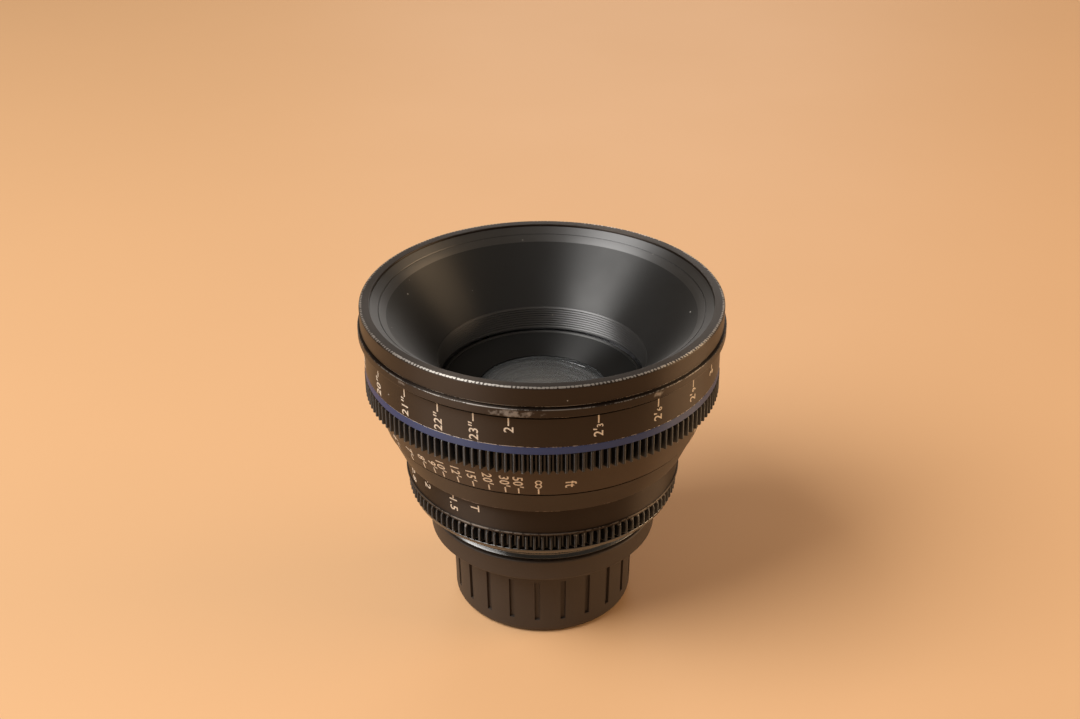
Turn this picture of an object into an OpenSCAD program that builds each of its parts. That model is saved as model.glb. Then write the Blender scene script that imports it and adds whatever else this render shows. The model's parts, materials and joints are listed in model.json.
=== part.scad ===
// Cinema prime lens, standing on its rear cap with the front upwards.
// Millimetres. The origin is the centre of the cap's foot, +Z is the optical
// axis towards the front, and -Y is the side with the engraved scales.

/* [Rear cap] */
// Height of the cup below its flange
cap_cup_h = 27.5; // [22:0.5:40]
// Height of the flange round the mount tabs
cap_flange_h = 7; // [5:0.5:10]
// Height of the inner step above the cup, where the mount tabs sit
cap_step_h = 2.5; // [1.5:0.1:3]
// Spread of the cup from its foot to its top
cap_taper = 0.5; // [0.3:0.1:2]
// Wall of the cup at its foot
cap_wall = 2.6; // [2:0.1:3]
// Wall of the flange
cap_flange_wall = 3.9; // [2:0.1:6]
// Thickness of the floor
cap_floor_t = 2.2; // [1.5:0.1:4]
// Rounding of the foot's edge
cap_edge_r = 2.6; // [1:0.1:4]
// Number of grip grooves
cap_groove_count = 22; // [12:1:28]
// Width of a grip groove
cap_groove_w = 1.6; // [0.8:0.1:2.5]
// Depth of a grip groove
cap_groove_d = 0.8; // [0.3:0.1:1]
// Height of the lower end of a grip groove
cap_groove_z = 5.5; // [4:0.5:8]
// Length of a grip groove
cap_groove_l = 15.5; // [8:0.5:18]
// Turn of the groove nearest the front
cap_groove_turn = -3.6; // [-8:0.1:8]

/* [Lens mount] */
// Radius of the throat
throat_r = 27; // [26.5:0.1:27.5]
// Wall of the throat
throat_wall = 2.2; // [1.6:0.1:2.4]
// Length of the throat behind the tabs
throat_l = 18; // [10:0.5:22]
// Reach of a tab beyond the throat
tab_reach = 6; // [5.5:0.1:7]
// Thickness of a tab
tab_h = 3.5; // [2.5:0.1:4.5]
// Angle that a tab spans
tab_arc = 58; // [40:1:70]
// Width of the locating notch in one tab
notch_w = 3; // [2:0.1:4]
// Reach of the neck between the tabs and the rear barrel beyond the throat
neck_reach = 4.2; // [4:0.1:5]
// Length of the neck
neck_h = 4.6; // [3:0.1:7]
// Thickness of the focus shim
shim_t = 0.3; // [0.1:0.05:0.8]
// Radius of a mount screw's shank
mount_screw_r = 0.8; // [0.6:0.05:1]
// Radius of a mount screw's head
mount_head_r = 1.5; // [1.2:0.05:1.7]
// Height of a mount screw's head
mount_head_h = 1.3; // [0.8:0.1:2]
// Depth of a mount screw in the rear barrel
mount_grip = 2.4; // [1.5:0.1:2.8]

/* [Fixed barrel] */
// Outer radius of the main barrel
barrel_r = 40.5; // [40:0.1:41]
// Wall of the main barrel
barrel_wall = 2.5; // [2.2:0.1:2.6]
// Height of the rear barrel
rear_h = 5.1; // [4.5:0.1:8]
// Reach of the rear barrel's upper edge beyond the main barrel
rear_reach = 2.7; // [2:0.1:4.5]
// Height of the rear barrel's conical flank above the mount's shim
rear_cone_h = 4.1; // [3.5:0.1:4.3]
// Gap between the cap and the rear barrel's skirt
rear_gap = 1.3; // [0.6:0.1:2]
// Wall of the skirt round the mount
rear_skirt_t = 4.1; // [3.6:0.1:4.6]
// Chamfer on the skirt's upper side
rear_chamfer = 1.2; // [0.6:0.1:1.8]
// Thickness of the rear barrel's floor
rear_floor_t = 3.2; // [3:0.1:4]
// Thickness of the fixed band between the two turning rings, at its upper edge
band_t = 9.7; // [8.5:0.1:10.5]
// Taper of the fixed band from its upper to its lower edge
band_taper = 3.6; // [2:0.1:4.5]
// Height of the fixed band
band_h = 8.2; // [7:0.1:9]
// Radius of a grub screw
grub_r = 1; // [0.6:0.1:1.4]
// Depth of a grub screw below the band's surface
grub_inset = 0.8; // [0.8:0.1:2]

/* [Front] */
// Reach of the front ring, for clamp-on accessories, beyond the main barrel
front_reach = 16.5; // [15.5:0.1:19]
// Height of the front ring
front_h = 6.2; // [5:0.1:9]
// Edge chamfer of the front ring
front_chamfer = 0.4; // [0.1:0.1:0.8]
// Wall of the front ring
rim_wall = 3.3; // [2.5:0.1:4.5]
// Depth of the rim's inner wall
rim_depth = 0.6; // [0.4:0.1:2.5]
// Width of the shelf between the rim's wall and the hood's cone
shelf_w = 4.5; // [3:0.1:5.5]
// Depth of the cone's start below the rim
mouth_depth = 3.5; // [2.5:0.1:4]
// Step from the bore to the end of the cone
cone_step = 0.4; // [0.2:0.1:1.5]
// Depth of the cone's end below the rim
cone_depth = 20.8; // [19:0.1:22]
// Wall of the hood's spigot in the main barrel
spigot_wall = 5; // [4.6:0.1:5.3]
// Depth of the bore's end below the rim
hood_depth = 29; // [28.5:0.1:29.2]
// Wall of the cone, measured level
hood_wall = 2.7; // [2:0.1:3.2]
// Reach of the narrow ring under the front ring beyond it
stop_step = 0.75; // [0:0.05:2]
// Height of the narrow ring
stop_h = 2.8; // [2.2:0.1:4]
// Height of the groove between the narrow ring and the front ring
groove_h = 0.5; // [0.3:0.1:1]
// Depth of that groove below the front ring's surface
groove_d = 0.6; // [0.2:0.1:1.2]
// Radius of a front screw's shank
front_screw_r = 0.8; // [0.6:0.1:1]
// Radius of a front screw's head
front_head_r = 1.5; // [1.2:0.1:1.8]
// Height of a front screw's head
front_head_h = 1.2; // [0.8:0.1:1.6]
// Depth of a front screw in the front ring
front_grip = 1.4; // [1:0.1:2.5]

/* [Focus ring] */
// Module of both follow gears
gear_module = 0.8; // [0.6:0.1:1]
// Depth of the focus gear's pitch circle below the scale ring's surface
gear_inset = 0.6; // [0.4:0.1:1.2]
// Height of the focus gear
focus_gear_h = 6.7; // [5:0.1:10]
// Depth of the upper scale ring and the accent ring below the front ring's surface
scale_inset = 0.8; // [0.4:0.1:1.6]
// Height of the upper scale ring
scale_h = 10.5; // [9:0.1:14]
// Height of the dark step at the upper scale ring's upper edge
scale_step_h = 0.9; // [0.4:0.1:1.4]
// Depth of that step below the ring's surface
scale_step_d = 0.7; // [0.3:0.1:1]
// Height of the accent ring
accent_h = 2.4; // [1.5:0.1:4]
// Height of the lower scale cone
lower_h = 11; // [10:0.1:14]
// Depth of the lower scale cone's top below the focus gear's tooth roots
lower_inset = 0.1; // [0.1:0.1:0.6]
// Thickness of the lower scale cone at its foot
lower_foot_t = 6.5; // [5.5:0.1:7.5]
// Wall of the scale rings
shell_wall = 2.6; // [2:0.1:3]
// Thickness of the flanges that the focus screws clamp
flange_t = 2.2; // [1.8:0.1:3]
// Wall of the cam sleeve
sleeve_wall = 3.7; // [3.3:0.1:4.5]
// Step of the cam sleeve's collar
collar_step = 1.3; // [0.8:0.1:2]
// Turn of the focus ring from far to near
focus_turn = 300; // [270:1:320]
// Turn from the far end to the setting shown
focus_set = 77.5; // [0:0.5:150]
// Travel of the optics from far to near
focus_travel = 7.15; // [6:0.05:7.3]
// Radius of a cam follower
follower_r = 1; // [0.8:0.05:1.1]
// Depth of the cam grooves
cam_depth = 2.2; // [1.6:0.1:2.4]
// Radius of a focus screw's shank
focus_screw_r = 0.7; // [0.5:0.1:0.8]
// Radius of a focus screw's head
focus_head_r = 1.15; // [1:0.05:1.4]
// Height of a focus screw's head
focus_head_h = 1.2; // [0.8:0.1:1.6]
// Height of the stop lugs
lug_h = 3; // [2:0.1:4]
// Radial width of the stop lugs
lug_w = 2.4; // [1.5:0.1:2.6]

/* [Iris ring] */
// Height of the iris gear's pitch circle above the main barrel
iris_gear_t = 2.7; // [2.4:0.1:3.5]
// Height of the iris gear
iris_gear_h = 5.7; // [4.5:0.1:7]
// Height of the iris scale cone
iris_cone_h = 10.2; // [9.5:0.1:12]
// Depth of the iris scale cone's top below the fixed band's lower edge
iris_top_inset = 1.6; // [0:0.1:2]
// Reach of the iris scale cone's foot beyond the iris gear's tips
iris_foot_reach = 0.2; // [0:0.1:1]
// Height of the lip at the cone's foot
iris_lip_h = 0.8; // [0.4:0.1:1.2]
// Stand-out of that lip
iris_lip_d = 0.5; // [0.2:0.1:0.8]
// Turn of the iris ring from open to closed
iris_turn = 57.8; // [50:0.1:60]
// Turn from open to the setting shown
iris_set = 45.4; // [0:0.1:50]

/* [Optical unit] */
// Room between the main barrel and the lens carrier
carrier_room = 4; // [3.8:0.1:4.4]
// Wall of the lens carrier
carrier_wall = 4; // [3.5:0.1:4.2]
// Height of a guide land on the carrier
land_h = 2.9; // [2.4:0.1:3.2]
// Gap between the hood's bore and the front cell's collar, which shows behind the cone
collar_gap = 0.7; // [0.6:0.1:1.2]
// Wall of that collar
collar_front_wall = 1.1; // [0.8:0.1:1.6]
// Height of that collar
collar_front_h = 5.2; // [4.5:0.1:5.4]
// Gap between the throat's bore and the rear cell's tube
rear_cell_gap = 2.3; // [1.3:0.1:3.5]
// Width of the bezel round the front element
bezel_w = 10.8; // [10:0.1:11.2]
// Edge thickness of the front element
lens_1_t = 4; // [3:0.1:4.5]
// Bulge of the front element's front face
lens_1_bulge = 3.6; // [2:0.1:4]
// Step from the front element's radius to the second one's
lens_2_step = 3; // [2:0.1:3.5]
// Edge thickness of the second element
lens_2_t = 3.4; // [2.5:0.1:3.6]
// Step from the second element's radius to the third one's
lens_3_step = 2; // [1.5:0.1:2.5]
// Edge thickness of the third element
lens_3_t = 2.6; // [2:0.1:3]
// Air between the front elements' edges
front_air = 1; // [0.6:0.1:1.2]
// Step from the third element's radius to the cemented pair's behind the iris
pair_step = 1; // [0.6:0.1:1.2]
// Edge thickness of the pair's front half
lens_4_t = 2.4; // [1.5:0.1:3]
// Edge thickness of the pair's rear half
lens_5_t = 4.6; // [3:0.1:5]
// Step from the pair's radius to the two rear elements'
rear_lens_step = 1.5; // [1:0.1:2.5]
// Edge thickness of the sixth element
lens_6_t = 4.8; // [3:0.1:5]
// Edge thickness of the seventh element
lens_7_t = 4.4; // [3:0.1:5]
// Length of the spacer between the rear elements
rear_air = 3.6; // [2:0.1:4]
// Step of a ledge or spacer inside an element's own radius
ledge_w = 1; // [0.8:0.1:1.4]
// Thickness of the rear cell's inner ledge
ledge_t = 1.2; // [0.8:0.1:1.6]
// Thickness of the rear cell's flange
rear_flange_t = 5; // [4:0.1:6]
// Height of the rear retaining ring
retainer_h = 2.6; // [1.5:0.1:3]

/* [Iris] */
// Step from the pair's radius to the open iris
iris_open_step = 1; // [0.6:0.1:1.2]
// Share of the open radius that is left when closed
iris_closed_share = 0.068; // [0.05:0.001:0.2]
// Depth of the circle that the blades pivot on inside the cam ring's edge
pivot_inset = 5; // [4.6:0.1:5.2]
// Radial width of a blade
blade_w = 5.3; // [4.8:0.1:5.4]
// Angle that a blade's arc spans
blade_arc = 110; // [100:1:116]
// Thickness of a blade
blade_t = 0.12; // [0.08:0.01:0.15]
// Height from one blade to the next
blade_step = 0.2; // [0.18:0.01:0.22]
// Distance from a blade's pivot to its drive pin
drive_l = 6; // [5.5:0.1:6.5]
// Radius of a blade's two pins
blade_pin_r = 0.4; // [0.3:0.05:0.45]
// Radius of a blade's eyes round its pins
blade_eye_r = 1; // [0.8:0.05:1.1]
// Thickness of the iris base and of the cam ring
plate_t = 1.2; // [1:0.1:1.3]
// Wall of the iris base round the cam ring
skirt_wall = 3; // [2.5:0.1:3.4]
// Radius of the cam ring's arm
arm_r = 1; // [0.8:0.1:1.2]
// Thickness of the drive bar between the barrel and the carrier
bar_t = 2; // [1.5:0.1:2.4]
// Width of the drive bar
bar_w = 5; // [4:0.1:7]
// Radius of the stub that holds the drive bar in the iris ring
stub_r = 1.5; // [1.2:0.1:1.8]
// Depth of that stub in the iris ring
stub_grip = 2; // [1.5:0.1:2.5]

/* [Fits] */
// Radial clearance of a turning or sliding fit
run_fit = 0.06; // [0.03:0.01:0.1]
// Radial clearance of a fixed seat
seat_fit = 0.02; // [0.01:0.01:0.04]
// Clearance of a screw in its hole
screw_fit = 0.05; // [0.02:0.01:0.1]
// End play of a turning ring
end_play = 0.05; // [0.03:0.01:0.1]
// Gap under a ring that shows as a dark line
line_gap = 0.3; // [0.2:0.05:0.5]
// Side clearance of a blade's drive pin in its cam slot
slot_fit = 0.1; // [0.06:0.01:0.12]
// Free room round a part that passes through a window
window_gap = 0.3; // [0.2:0.05:0.5]

/* [Hidden] */
BLADE_NODES = ["iris_blade_01", "iris_blade_02", "iris_blade_03", "iris_blade_04", "iris_blade_05",
    "iris_blade_06", "iris_blade_07", "iris_blade_08", "iris_blade_09", "iris_blade_10",
    "iris_blade_11", "iris_blade_12", "iris_blade_13", "iris_blade_14"];
$fn = 96;

// Small overlap that lets a cut break through a face
cut = 1;
blade_count = len(BLADE_NODES);
mount_screw_count = 6;
front_screw_count = 6;
focus_screw_count = 6;
follower_count = 3;
tab_count = 4;
grub_count = 3;

// Directions, counted from +X
tab_start = 45;
mount_screw_start = 45;
focus_screw_start = 15;
front_screw_start = 8;
grub_start = 45;
grub_spacing = 45;
lug_angle = 90;
bar_angle = 60;

// Standard rack tooth: depth below the pitch line in modules, and flank angle
tooth_root = 1.25;
flank_angle = 20;
// Width of a screw's socket as a share of its shank
socket_share = 0.8;

// Radii from the throat
cap_foot_r = throat_r + cap_wall;
cap_top_r = cap_foot_r + cap_taper;
tab_r = throat_r + tab_reach;
neck_r = throat_r + neck_reach;
tab_bore_r = tab_r + window_gap;
cap_flange_r = tab_bore_r + cap_flange_wall;
rear_skirt_r = tab_bore_r + rear_skirt_t;
rear_cell_r = throat_r - throat_wall - rear_cell_gap;

// Radii from the main barrel outwards
rear_top_r = barrel_r + rear_reach;
band_r = barrel_r + band_t;
band_low_r = band_r - band_taper;
band_mid_r = (band_low_r + band_r) / 2;
sleeve_r = barrel_r + sleeve_wall;
collar_r = sleeve_r + collar_step;
lower_foot_r = sleeve_r + lower_foot_t;
iris_teeth = round(2 * (barrel_r + iris_gear_t) / gear_module);
iris_foot_r = (iris_teeth / 2 + 1) * gear_module + iris_foot_reach;
iris_top_r = band_low_r - iris_top_inset;

// Radii from the main barrel inwards
barrel_bore_r = barrel_r - barrel_wall;
hood_bore_r = barrel_bore_r - spigot_wall;
cone_r = hood_bore_r + cone_step;
collar_front_r = hood_bore_r - collar_gap;
carrier_r = barrel_bore_r - carrier_room;
base_r = carrier_r - carrier_wall;
cam_ring_r = base_r - skirt_wall;
pivot_r = cam_ring_r - pivot_inset;
lens_1_r = collar_front_r - bezel_w;
lens_2_r = lens_1_r - lens_2_step;
lens_3_r = lens_2_r - lens_3_step;
pair_r = lens_3_r - pair_step;
rear_lens_r = pair_r + rear_lens_step;
iris_open_r = pair_r - iris_open_step;

// Radii from the front ring
front_r = barrel_r + front_reach;
rim_r = front_r - rim_wall;
mouth_r = rim_r - shelf_w;
stop_r = front_r + stop_step;
stop_inner_r = mouth_r + hood_wall / 2;
scale_r = front_r - scale_inset;
shell_r = scale_r - shell_wall;
focus_teeth = round(2 * (scale_r - gear_inset) / gear_module);
lower_top_r = (focus_teeth / 2 - tooth_root) * gear_module - lower_inset;

// Heights from the foot of the cap to the rim
seat_z = cap_cup_h + cap_step_h;
cap_top_z = cap_cup_h + cap_flange_h;
tab_z = seat_z + tab_h;
shim_z = tab_z + neck_h;
rear_z = shim_z + shim_t;
rear_foot_z = min(cap_top_z + rear_gap, rear_z - 0.5);
barrel_z = rear_z + rear_floor_t;
rear_top_z = rear_z + rear_h;
iris_z = rear_top_z + 2 * line_gap;
iris_cone_z = iris_z + iris_gear_h;
iris_top_z = iris_cone_z + iris_cone_h;
band_z = iris_top_z + line_gap;
band_top_z = band_z + band_h;
band_mid_z = (band_z + band_top_z) / 2;
lower_z = band_top_z + 2 * line_gap;
gear_z = lower_z + lower_h;
accent_z = gear_z + focus_gear_h;
scale_z = accent_z + accent_h;
scale_top_z = scale_z + scale_h;
stop_z = scale_top_z + line_gap;
groove_z = stop_z + stop_h;
front_z = groove_z + groove_h;
rim_z = front_z + front_h;
hood_z = rim_z - hood_depth;
barrel_top_z = scale_z + flange_t;
sleeve_bore_r = barrel_r + run_fit;

// Focus cam: travel per degree, and the followers' height at the setting shown
cam_rate = focus_travel / focus_turn;
near_travel = cam_rate * (focus_turn - focus_set);
far_travel = cam_rate * focus_set;
land_z = hood_z - near_travel - land_h - window_gap;
follower_z = land_z + land_h / 2;
low_land_z = barrel_z + far_travel + line_gap;
stop_clear = 0.2;
lug_arc = (360 - focus_turn) / 2 - stop_clear;
lug_r = shell_r - lug_w;

// Iris: the arm's height follows the room that the drive bar has above the low land
bar_z = low_land_z + land_h + near_travel + window_gap;
stub_z = bar_z + stub_r;
arm_z = stub_z + stub_r + far_travel + arm_r + 2 * window_gap;
bar_top_z = arm_z + near_travel + arm_r + 2 * window_gap;
bar_r = carrier_r + (barrel_bore_r - carrier_r - bar_t) / 2;
cam_ring_z = arm_z - plate_t / 2;
blade_z = cam_ring_z + plate_t + blade_step;
base_z = blade_z + blade_count * blade_step;
base_top_z = base_z + plate_t;
blade_swing = 2 * asin(iris_open_r * (1 - iris_closed_share) / (2 * pivot_r));
blade_ratio = blade_swing / iris_turn;
drive_angle = 90 - blade_swing / 2;
blade_pitch = 360 / blade_count;

// Optical stack
lens_3_z = base_top_z + front_air / 2;
lens_2_z = lens_3_z + lens_3_t + front_air;
lens_1_z = lens_2_z + lens_2_t + front_air;
lens_1_top_z = lens_1_z + lens_1_t;
collar_z = land_z + land_h;
cell_top_z = arm_z - arm_r - window_gap;
pair_z = cell_top_z - lens_4_t - lens_5_t;
ledge_z = pair_z - ledge_t;
lens_6_z = ledge_z - lens_6_t;
lens_7_z = lens_6_z - rear_air - lens_7_t;
retainer_z = lens_7_z - retainer_h;
// Bulge towards the front of each element's rear and front face
faces_1 = [0.8, lens_1_bulge];
faces_2 = [0.6, 0.9];
faces_3 = [0.9, 0.5];
faces_4 = [0.7, -0.9];
faces_5 = [-1, faces_4[0]];
faces_6 = [-1.2, -0.6];
faces_7 = [-1, 0.6];

module turned(points) {
    rotate_extrude() polygon(points);
}

module ring(r_in, r_out, z_low, z_high) {
    turned([[r_in, z_low], [r_out, z_low], [r_out, z_high], [r_in, z_high]]);
}

module sector(r_in, r_out, z_low, z_high, from, to) {
    rotate([0, 0, from]) rotate_extrude(angle = to - from)
        polygon([[r_in, z_low], [r_out, z_low], [r_out, z_high], [r_in, z_high]]);
}

module around(count, start = 0) {
    for (i = [0 : count - 1]) rotate([0, 0, start + i * 360 / count]) children();
}

module radial_pin(r, from, to, z) {
    translate([from, 0, z]) rotate([0, 90, 0]) cylinder(r = r, h = to - from);
}

// Screw with its head below, pointing up
module screw_up(shank_r, head_r, head_h, z_low, z_high) {
    translate([0, 0, z_low]) cylinder(r = head_r, h = head_h);
    translate([0, 0, z_low]) cylinder(r = shank_r, h = z_high - z_low);
}

// Screw with its head above, pointing down, with a hexagon socket
module screw_down(shank_r, head_r, head_h, z_low, z_high) {
    difference() {
        union() {
            translate([0, 0, z_high - head_h]) cylinder(r = head_r, h = head_h);
            translate([0, 0, z_low]) cylinder(r = shank_r, h = z_high - z_low);
        }
        translate([0, 0, z_high - head_h / 2]) cylinder(r = shank_r * socket_share, h = head_h, $fn = 6);
    }
}

// Straight-flanked teeth of a standard rack angle round a pitch circle
function gear_outline(teeth) =
    let(pitch_r = teeth * gear_module / 2,
        tip_r = pitch_r + gear_module,
        root_r = pitch_r - tooth_root * gear_module,
        quarter = 90 / teeth,
        tip_half = quarter - tan(flank_angle) * gear_module / pitch_r * 180 / PI,
        root_half = quarter + tan(flank_angle) * tooth_root * gear_module / pitch_r * 180 / PI)
    [for (i = [0 : teeth - 1])
        let(middle = i * 360 / teeth)
        for (corner = [[root_r, -root_half], [tip_r, -tip_half], [tip_r, tip_half], [root_r, root_half]])
            corner[0] * [cos(middle + corner[1]), sin(middle + corner[1])]];

module gear(teeth, bore_r, z_low, z_high) {
    difference() {
        translate([0, 0, z_low]) linear_extrude(z_high - z_low) polygon(gear_outline(teeth));
        translate([0, 0, z_low - cut]) cylinder(r = bore_r, h = z_high - z_low + 2 * cut);
    }
}

// Points of a lens face from its edge to the axis
function face_points(r, z, bulge, steps = 12) =
    let(ball_r = (r * r + bulge * bulge) / (2 * bulge))
    [for (i = [0 : steps])
        let(x = r * (steps - i) / steps)
        [x, z + sign(bulge) * (sqrt(ball_r * ball_r - x * x) - (abs(ball_r) - abs(bulge)))]];

function reversed(list) = [for (i = [len(list) - 1 : -1 : 0]) list[i]];

// Glass element with a flat seat round each face; a positive bulge stands up, on either face
module element(r, z_low, edge_t, faces) {
    face_r = r - ledge_w;
    turned(concat([[r, z_low + edge_t]], face_points(face_r, z_low + edge_t, faces[1]),
        reversed(face_points(face_r, z_low, faces[0])), [[r, z_low]]));
}

module mount_screw_places() {
    around(mount_screw_count, mount_screw_start) translate([(throat_r + neck_r) / 2, 0, 0]) children();
}

module focus_screw_places() {
    around(focus_screw_count, focus_screw_start) translate([(collar_r + shell_r) / 2, 0, 0]) children();
}

module front_screw_places() {
    around(front_screw_count, front_screw_start) translate([rim_r - front_head_r, 0, 0]) children();
}

// Grub screws sit on the far side, away from the scales
module grub_places() {
    for (i = [0 : grub_count - 1]) rotate([0, 0, grub_start + i * grub_spacing]) children();
}

module rear_cap() {
    edge = [for (a = [-90 : 15 : 0])
        [cap_foot_r - cap_edge_r + cap_edge_r * cos(a), cap_edge_r + cap_edge_r * sin(a)]];
    color([0.09, 0.085, 0.08]) difference() {
        turned(concat(edge, [[cap_top_r, cap_cup_h - cap_step_h], [cap_flange_r, cap_cup_h],
            [cap_flange_r, cap_top_z], [tab_bore_r, cap_top_z], [tab_bore_r, seat_z],
            [throat_r + run_fit, seat_z], [throat_r + run_fit, cap_floor_t], [0, cap_floor_t], [0, 0]]));
        around(cap_groove_count, cap_groove_turn - 90)
            translate([cap_foot_r - cap_groove_d, -cap_groove_w / 2, cap_groove_z])
                cube([cap_top_r, cap_groove_w, cap_groove_l]);
    }
}

module lens_mount() {
    color([0.55, 0.55, 0.54]) difference() {
        union() {
            turned([[throat_r - throat_wall, seat_z - throat_l], [throat_r, seat_z - throat_l],
                [throat_r, seat_z], [neck_r, seat_z], [neck_r, shim_z], [throat_r - throat_wall, shim_z]]);
            around(tab_count, tab_start)
                sector(neck_r - cut, tab_r, seat_z, tab_z, -tab_arc / 2, tab_arc / 2);
        }
        rotate([0, 0, tab_start]) translate([neck_r, -notch_w / 2, seat_z - cut])
            cube([tab_r, notch_w, tab_h + 2 * cut]);
        mount_screw_places() {
            translate([0, 0, seat_z - cut])
                cylinder(r = mount_head_r + screw_fit, h = mount_head_h + screw_fit + cut);
            translate([0, 0, seat_z]) cylinder(r = mount_screw_r + screw_fit, h = shim_z - seat_z + cut);
        }
    }
}

module mount_shim() {
    color([0.8, 0.65, 0.3]) difference() {
        ring(throat_r - throat_wall, neck_r, shim_z, rear_z);
        mount_screw_places() translate([0, 0, shim_z - cut])
            cylinder(r = mount_screw_r + screw_fit, h = shim_t + 2 * cut);
    }
}

module mount_screws() {
    color([0.6, 0.6, 0.6]) mount_screw_places()
        screw_up(mount_screw_r, mount_head_r, mount_head_h, seat_z + screw_fit, rear_z + mount_grip);
}

module rear_barrel() {
    color([0.05, 0.05, 0.05]) difference() {
        turned([[throat_r - throat_wall, rear_z], [tab_bore_r, rear_z], [tab_bore_r, rear_foot_z],
            [rear_skirt_r, rear_foot_z], [rear_skirt_r - rear_chamfer, rear_foot_z + rear_chamfer],
            [rear_top_r, rear_z + rear_cone_h], [rear_top_r, rear_top_z],
            [barrel_r + seat_fit, rear_top_z], [barrel_r + seat_fit, barrel_z],
            [throat_r - throat_wall, barrel_z]]);
        mount_screw_places() translate([0, 0, rear_z - cut])
            cylinder(r = mount_screw_r + screw_fit, h = mount_grip + screw_fit + cut);
    }
}

// Windows and straight slots let the followers and the iris drive through
module main_barrel() {
    reach = asin((stub_r + window_gap) / barrel_r);
    color([0.2, 0.2, 0.21]) difference() {
        ring(barrel_bore_r, barrel_r, barrel_z, barrel_top_z);
        around(follower_count)
            translate([barrel_bore_r - cut, -follower_r - run_fit,
                follower_z - far_travel - follower_r - window_gap])
                cube([barrel_wall + 2 * cut, 2 * (follower_r + run_fit),
                    focus_travel + 2 * (follower_r + window_gap)]);
        sector(barrel_bore_r - cut, barrel_r + cut,
            stub_z - stub_r - window_gap, stub_z + stub_r + window_gap,
            bar_angle - iris_set - reach, bar_angle + iris_turn - iris_set + reach);
        grub_places() radial_pin(grub_r + screw_fit, barrel_r - barrel_wall / 2, band_r, band_mid_z);
    }
}

module index_band() {
    color([0.1, 0.09, 0.085]) difference() {
        turned([[barrel_r + seat_fit, band_z], [band_low_r, band_z], [band_r, band_top_z],
            [barrel_r + seat_fit, band_top_z]]);
        grub_places() radial_pin(grub_r + screw_fit, barrel_r, band_r + cut, band_mid_z);
    }
}

module band_grub_screws() {
    tip = barrel_r - barrel_wall / 2 + screw_fit;
    color([0.15, 0.15, 0.15]) grub_places() difference() {
        radial_pin(grub_r, tip, band_mid_r - grub_inset, band_mid_z);
        translate([band_mid_r - grub_inset - grub_r, 0, band_mid_z]) rotate([0, 90, 0])
            cylinder(r = grub_r / 2, h = grub_r + cut, $fn = 6);
    }
}

module hood() {
    mouth_z = rim_z - mouth_depth;
    cone_z = rim_z - cone_depth;
    spigot_r = barrel_bore_r - seat_fit;
    slope = (mouth_r - cone_r) / (mouth_z - cone_z);
    shoulder_z = barrel_top_z + flange_t;
    color([0.13, 0.14, 0.15]) turned([[hood_bore_r, hood_z], [spigot_r, hood_z], [spigot_r, barrel_top_z],
        [sleeve_r, barrel_top_z], [sleeve_r, shoulder_z - line_gap],
        [cone_r + slope * (shoulder_z - cone_z) + hood_wall, shoulder_z],
        [stop_inner_r - seat_fit, front_z + flange_t],
        [rim_r - seat_fit, front_z + flange_t], [rim_r - seat_fit, rim_z - rim_depth],
        [mouth_r, mouth_z], [cone_r, cone_z]]);
}

module front_ring() {
    color([0.12, 0.1, 0.09]) difference() {
        turned([[stop_inner_r, front_z], [front_r - front_chamfer, front_z],
            [front_r, front_z + front_chamfer], [front_r, rim_z - front_chamfer],
            [front_r - front_chamfer, rim_z], [rim_r, rim_z],
            [rim_r, front_z + flange_t], [stop_inner_r, front_z + flange_t]]);
        front_screw_places() translate([0, 0, front_z - cut])
            cylinder(r = front_screw_r + screw_fit, h = front_grip + screw_fit + cut);
    }
}

module stop_ring() {
    color([0.11, 0.095, 0.085]) difference() {
        union() {
            turned([[stop_inner_r, stop_z], [stop_r - front_chamfer, stop_z],
                [stop_r, stop_z + front_chamfer], [stop_r, groove_z - front_chamfer],
                [stop_r - front_chamfer, groove_z], [front_r - groove_d, groove_z],
                [front_r - groove_d, front_z], [stop_inner_r, front_z]]);
            sector(lug_r, shell_r - window_gap, stop_z - lug_h, stop_z + cut,
                lug_angle + focus_turn - focus_set + stop_clear + lug_arc / 2,
                lug_angle + focus_turn - focus_set + stop_clear + lug_arc * 3 / 2);
        }
        front_screw_places() {
            translate([0, 0, stop_z - cut])
                cylinder(r = front_head_r + screw_fit, h = front_head_h + screw_fit + cut);
            translate([0, 0, stop_z]) cylinder(r = front_screw_r + screw_fit, h = stop_h + groove_h + cut);
        }
    }
}

module front_screws() {
    color([0.4, 0.4, 0.4]) front_screw_places()
        screw_up(front_screw_r, front_head_r, front_head_h, stop_z + screw_fit, front_z + front_grip);
}

module focus_screw_holes() {
    focus_screw_places() translate([0, 0, gear_z - flange_t])
        cylinder(r = focus_screw_r + screw_fit, h = scale_z + 2 * flange_t - gear_z + cut);
}

module focus_scale_ring() {
    color([0.11, 0.095, 0.085]) difference() {
        union() {
            turned([[sleeve_r + seat_fit, scale_z], [scale_r, scale_z],
                [scale_r, scale_top_z - scale_step_h],
                [scale_r - scale_step_d, scale_top_z - scale_step_h],
                [scale_r - scale_step_d, scale_top_z], [shell_r, scale_top_z],
                [shell_r, scale_z + flange_t], [sleeve_r + seat_fit, scale_z + flange_t]]);
            sector(lug_r, shell_r + cut, scale_top_z - lug_h, scale_top_z,
                lug_angle - lug_arc / 2, lug_angle + lug_arc / 2);
        }
        focus_screw_holes();
    }
}

module accent_ring() {
    color([0.13, 0.15, 0.32]) difference() {
        ring(collar_r + seat_fit, scale_r, accent_z, scale_z);
        focus_screw_holes();
    }
}

module focus_gear() {
    color([0.05, 0.05, 0.05]) difference() {
        gear(focus_teeth, collar_r + seat_fit, gear_z, accent_z);
        focus_screw_holes();
    }
}

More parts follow.
